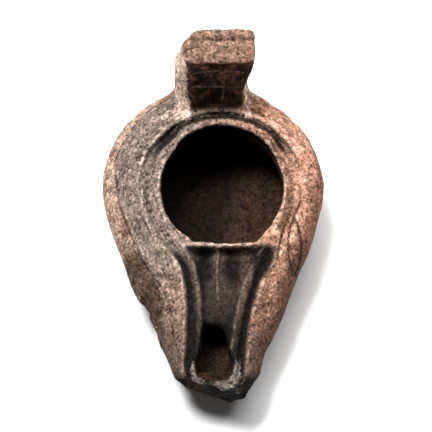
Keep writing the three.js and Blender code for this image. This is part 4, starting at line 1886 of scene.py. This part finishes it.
@dataclass
class ClayLamp:
    """The lamp itself: one piece of fired clay."""

    plan: LampPlan
    step: float = 0.42
    margin: float = 2.0
    waver: float = 0.22
    dot_drop: float = 1.0
    bend_scale: float = 4.0
    bend_rounds: int = 10
    most_triangles: int = 180000
    thinning: float = 30.0
    hidden_depth: float = 5.0
    hidden_inset: float = 2.2
    floor_z: float = 3.0
    under_z: float = 9.0
    finish: FiredClay = field(default_factory=FiredClay)
    texture: PressedTexture = field(default_factory=PressedTexture)

    def build(self) -> bpy.types.Object:
        """Models the clay body and dresses it.

        Returns:
            The finished piece.
        """
        low, high = (Vector(corner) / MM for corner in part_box(LAMP_NODE))
        start, end = tuple(v - self.margin for v in low), tuple(v + self.margin for v in high)
        grid = ClayGrid(start, end, self.step)
        form = LampForm()
        maps = self._maps(grid)
        log.info("grid of %s samples", [len(a) for a in grid.axes])
        piece = self._piece(*grid.skin(form.clay(grid, maps)))
        self._thin(piece, grid, maps, form)
        self._mask(piece, SurfaceMasks(grid, maps, self.plan, form))
        dot_height = float(form.crest(self.plan.rim_centre[1])) - self.dot_drop
        self.texture.press(piece, self.plan, dot_height, self.finish.material())
        piece.data.shade_smooth()
        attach(piece, "root")
        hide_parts(LAMP_NODE)
        return piece

    def _maps(self, grid: ClayGrid) -> Maps:
        """Plan maps: distance inside the outline and outside each inner curve, and the carving.

        Args:
            grid: The grid.

        Returns:
            The maps by name.
        """
        x, y = grid.x[:, :, 0], grid.y[:, :, 0]
        carving = Carving(self.plan)
        loops = {
            "out": self.plan.outline(),
            "key": self.plan.keyhole(),
            "foot": self.plan.foot(),
            "hole": self.plan.hole(),
        }
        maps = {name: loop_distance(loop, x, y)[:, :, None] for name, loop in loops.items()}
        maps = {name: distance.astype(np.float32) for name, distance in maps.items()}
        maps["out"] = -maps["out"] + self.waver * grid.noise((6, 6, 0), Seed.OUTLINE_WAVER)
        maps["relief"] = carving.relief(grid, maps["out"], maps["key"])
        maps["border"] = carving.border_line(grid, maps["out"])
        maps["vein"] = carving.vein_line(grid.x, grid.y)
        return maps

    @staticmethod
    def _piece(points: Array, faces: Array) -> bpy.types.Object:
        """Makes the object.

        Args:
            points: Corner points.
            faces: Four-sided faces.

        Returns:
            The object, in the scene.
        """
        mesh = bpy.data.meshes.new("clay_lamp")
        mesh.from_pydata((points * MM).tolist(), [], faces.tolist())
        mesh.validate()
        kept = bmesh.new()
        kept.from_mesh(mesh)
        bmesh.ops.delete(kept, geom=[v for v in kept.verts if not v.link_faces], context="VERTS")
        kept.to_mesh(mesh)
        kept.free()
        piece = bpy.data.objects.new("clay_lamp", mesh)
        bpy.context.scene.collection.objects.link(piece)
        return piece

    def _thin(
        self,
        piece: bpy.types.Object,
        grid: ClayGrid,
        maps: Maps,
        form: LampForm,
    ) -> None:
        """Thins the mesh where nothing fine shows: inside the oil space and under the bowl.

        Args:
            piece: The object.
            grid: The grid.
            maps: Plan maps.
            form: The lamp's form.
        """
        points = corner_points(piece.data)
        out = grid.sample(maps["out"], points)
        depth = form.crest(points[:, 1]) - points[:, 2]
        hidden = (depth > self.hidden_depth) & (out > self.hidden_inset) & (points[:, 2] > self.floor_z)
        group = piece.vertex_groups.new(name="plain")
        plain = np.flatnonzero(hidden | (points[:, 2] < self.under_z))
        group.add(plain.tolist(), 1.0, "REPLACE")
        triangles = 2 * len(piece.data.polygons)
        thin = piece.modifiers.new("thin", "DECIMATE")
        thin.ratio = min(1.0, self.most_triangles / triangles)
        thin.vertex_group = group.name
        thin.vertex_group_factor = self.thinning
        log.info("%d triangles thinned to about %d", triangles, self.most_triangles)
        keep_evaluated(piece)
        piece.vertex_groups.clear()

    def _mask(self, piece: bpy.types.Object, masks: SurfaceMasks) -> None:
        """Stores the finish's masks on the mesh.

        Args:
            piece: The object.
            masks: Works out the masks.
        """
        mesh = piece.data
        points = corner_points(mesh)
        normals = np.empty(len(mesh.vertices) * 3, np.float32)
        mesh.vertices.foreach_get("normal", normals)
        edges = np.empty(len(mesh.edges) * 2, np.int32)
        mesh.edges.foreach_get("vertices", edges)
        smooth = neighbour_mean(points, edges.reshape(-1, 2), self.bend_rounds)
        bend = ((points - smooth) * normals.reshape(-1, 3)).sum(1)
        bend = neighbour_mean(bend[:, None], edges.reshape(-1, 2), 2)[:, 0]
        values = masks.read(points, bend * self.bend_scale)
        values["grain"] = np.zeros(len(points))
        for name, array in values.items():
            stored = mesh.attributes.new(name, "FLOAT", "POINT")
            stored.data.foreach_set("value", array.astype(np.float32))


def corner_points(mesh: bpy.types.Mesh) -> Array:
    """The corners of a mesh, in millimetres.

    Args:
        mesh: The mesh.

    Returns:
        Rows of x, y, z.
    """
    flat = np.empty(len(mesh.vertices) * 3, np.float32)
    mesh.vertices.foreach_get("co", flat)
    return flat.reshape(-1, 3) / MM


# ---------------------------------------------------------------- the studio


@dataclass
class SoftBox:
    """One square soft light."""

    name: str
    azimuth: float
    elevation: float
    distance: float
    size: float
    power: float
    colour: str = "ffffff"

    def hang(self, aim: Vector) -> None:
        """Hangs the light and turns it to its aim.

        Args:
            aim: The point that it faces.
        """
        lamp = bpy.data.lights.new(self.name, "AREA")
        lamp.size = self.size
        lamp.energy = self.power
        lamp.color = linear(self.colour)[:3]
        turn, rise = math.radians(self.azimuth), math.radians(self.elevation)
        away = Vector((math.sin(turn) * math.cos(rise), math.cos(turn) * math.cos(rise), math.sin(rise)))
        hung = bpy.data.objects.new(self.name, lamp)
        hung.location = aim + away * self.distance
        hung.rotation_euler = (-away).to_track_quat("-Z", "Y").to_euler()
        bpy.context.scene.collection.objects.link(hung)


@dataclass
class Studio:
    """A pale table top, soft lights and the camera above the nozzle."""

    aim: tuple[float, float, float] = (0.864, -5.02, 15.03)
    distance: float = 480.0
    elevation: float = 65.0
    azimuth: float = -5.0
    roll: float = 4.0
    lens: float = 138.8
    floor_half: float = 3.0
    paint: MattPaint = field(default_factory=MattPaint)
    sky: float = 1.3
    lights: tuple[SoftBox, ...] = (
        SoftBox("key_light", azimuth=-44.0, elevation=66.0, distance=0.9, size=0.3, power=15.0),
        SoftBox("right_light", azimuth=28.0, elevation=64.0, distance=0.9, size=0.6, power=6.5),
    )

    def build(self) -> None:
        """Makes the floor, the lights and the camera."""
        self._floor()
        aim = Vector(self.aim) * MM
        for light in self.lights:
            light.hang(aim)
        self._camera(aim)
        world = bpy.data.worlds.new("soft_room")
        world.use_nodes = True
        background = world.node_tree.nodes["Background"]
        background.inputs["Strength"].default_value = self.sky
        bpy.context.scene.world = world
        bpy.context.scene.view_settings.view_transform = "Standard"

    def _camera(self, aim: Vector) -> None:
        """Puts the camera over the lamp, rolled so that the lamp's axis stands upright in the view.

        Args:
            aim: The point that it faces.
        """
        turn, rise, roll = (math.radians(v) for v in (self.azimuth, self.elevation, self.roll))
        back = Vector((math.sin(turn) * math.cos(rise), -math.cos(turn) * math.cos(rise), math.sin(rise)))
        level = (-back).cross(Vector((0, 0, 1))).normalized()
        upright = level.cross(-back)
        right = level * math.cos(roll) + upright * math.sin(roll)
        top = upright * math.cos(roll) - level * math.sin(roll)
        lens = bpy.data.cameras.new("camera")
        lens.lens = self.lens
        lens.clip_start, lens.clip_end = 0.01, 10.0
        camera = bpy.data.objects.new("camera", lens)
        axes = Matrix((right, top, back)).transposed().to_4x4()
        camera.matrix_world = Matrix.Translation(aim + back * self.distance * MM) @ axes
        bpy.context.scene.collection.objects.link(camera)
        bpy.context.scene.camera = camera

    def _floor(self) -> None:
        """A wide pale table top under the base."""
        half = self.floor_half
        mesh = bpy.data.meshes.new("table_top")
        corners = [(-half, -half, 0), (half, -half, 0), (half, half, 0), (-half, half, 0)]
        mesh.from_pydata(corners, [], [(0, 1, 2, 3)])
        floor = bpy.data.objects.new("table_top", mesh)
        bpy.context.scene.collection.objects.link(floor)
        mesh.materials.append(self.paint.material())


def main() -> None:
    """Builds the studio and the lamp."""
    logging.basicConfig(level=logging.INFO, format="%(name)s: %(message)s")
    Studio().build()
    low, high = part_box(LAMP_NODE)
    plan = LampPlan(bowl_radius=(high[0] - low[0]) / 2 / MM)
    piece = ClayLamp(plan).build()
    log.info("%s: %d corners, %d faces", piece.name, len(piece.data.vertices), len(piece.data.polygons))


if __name__ == "__main__":
    main()
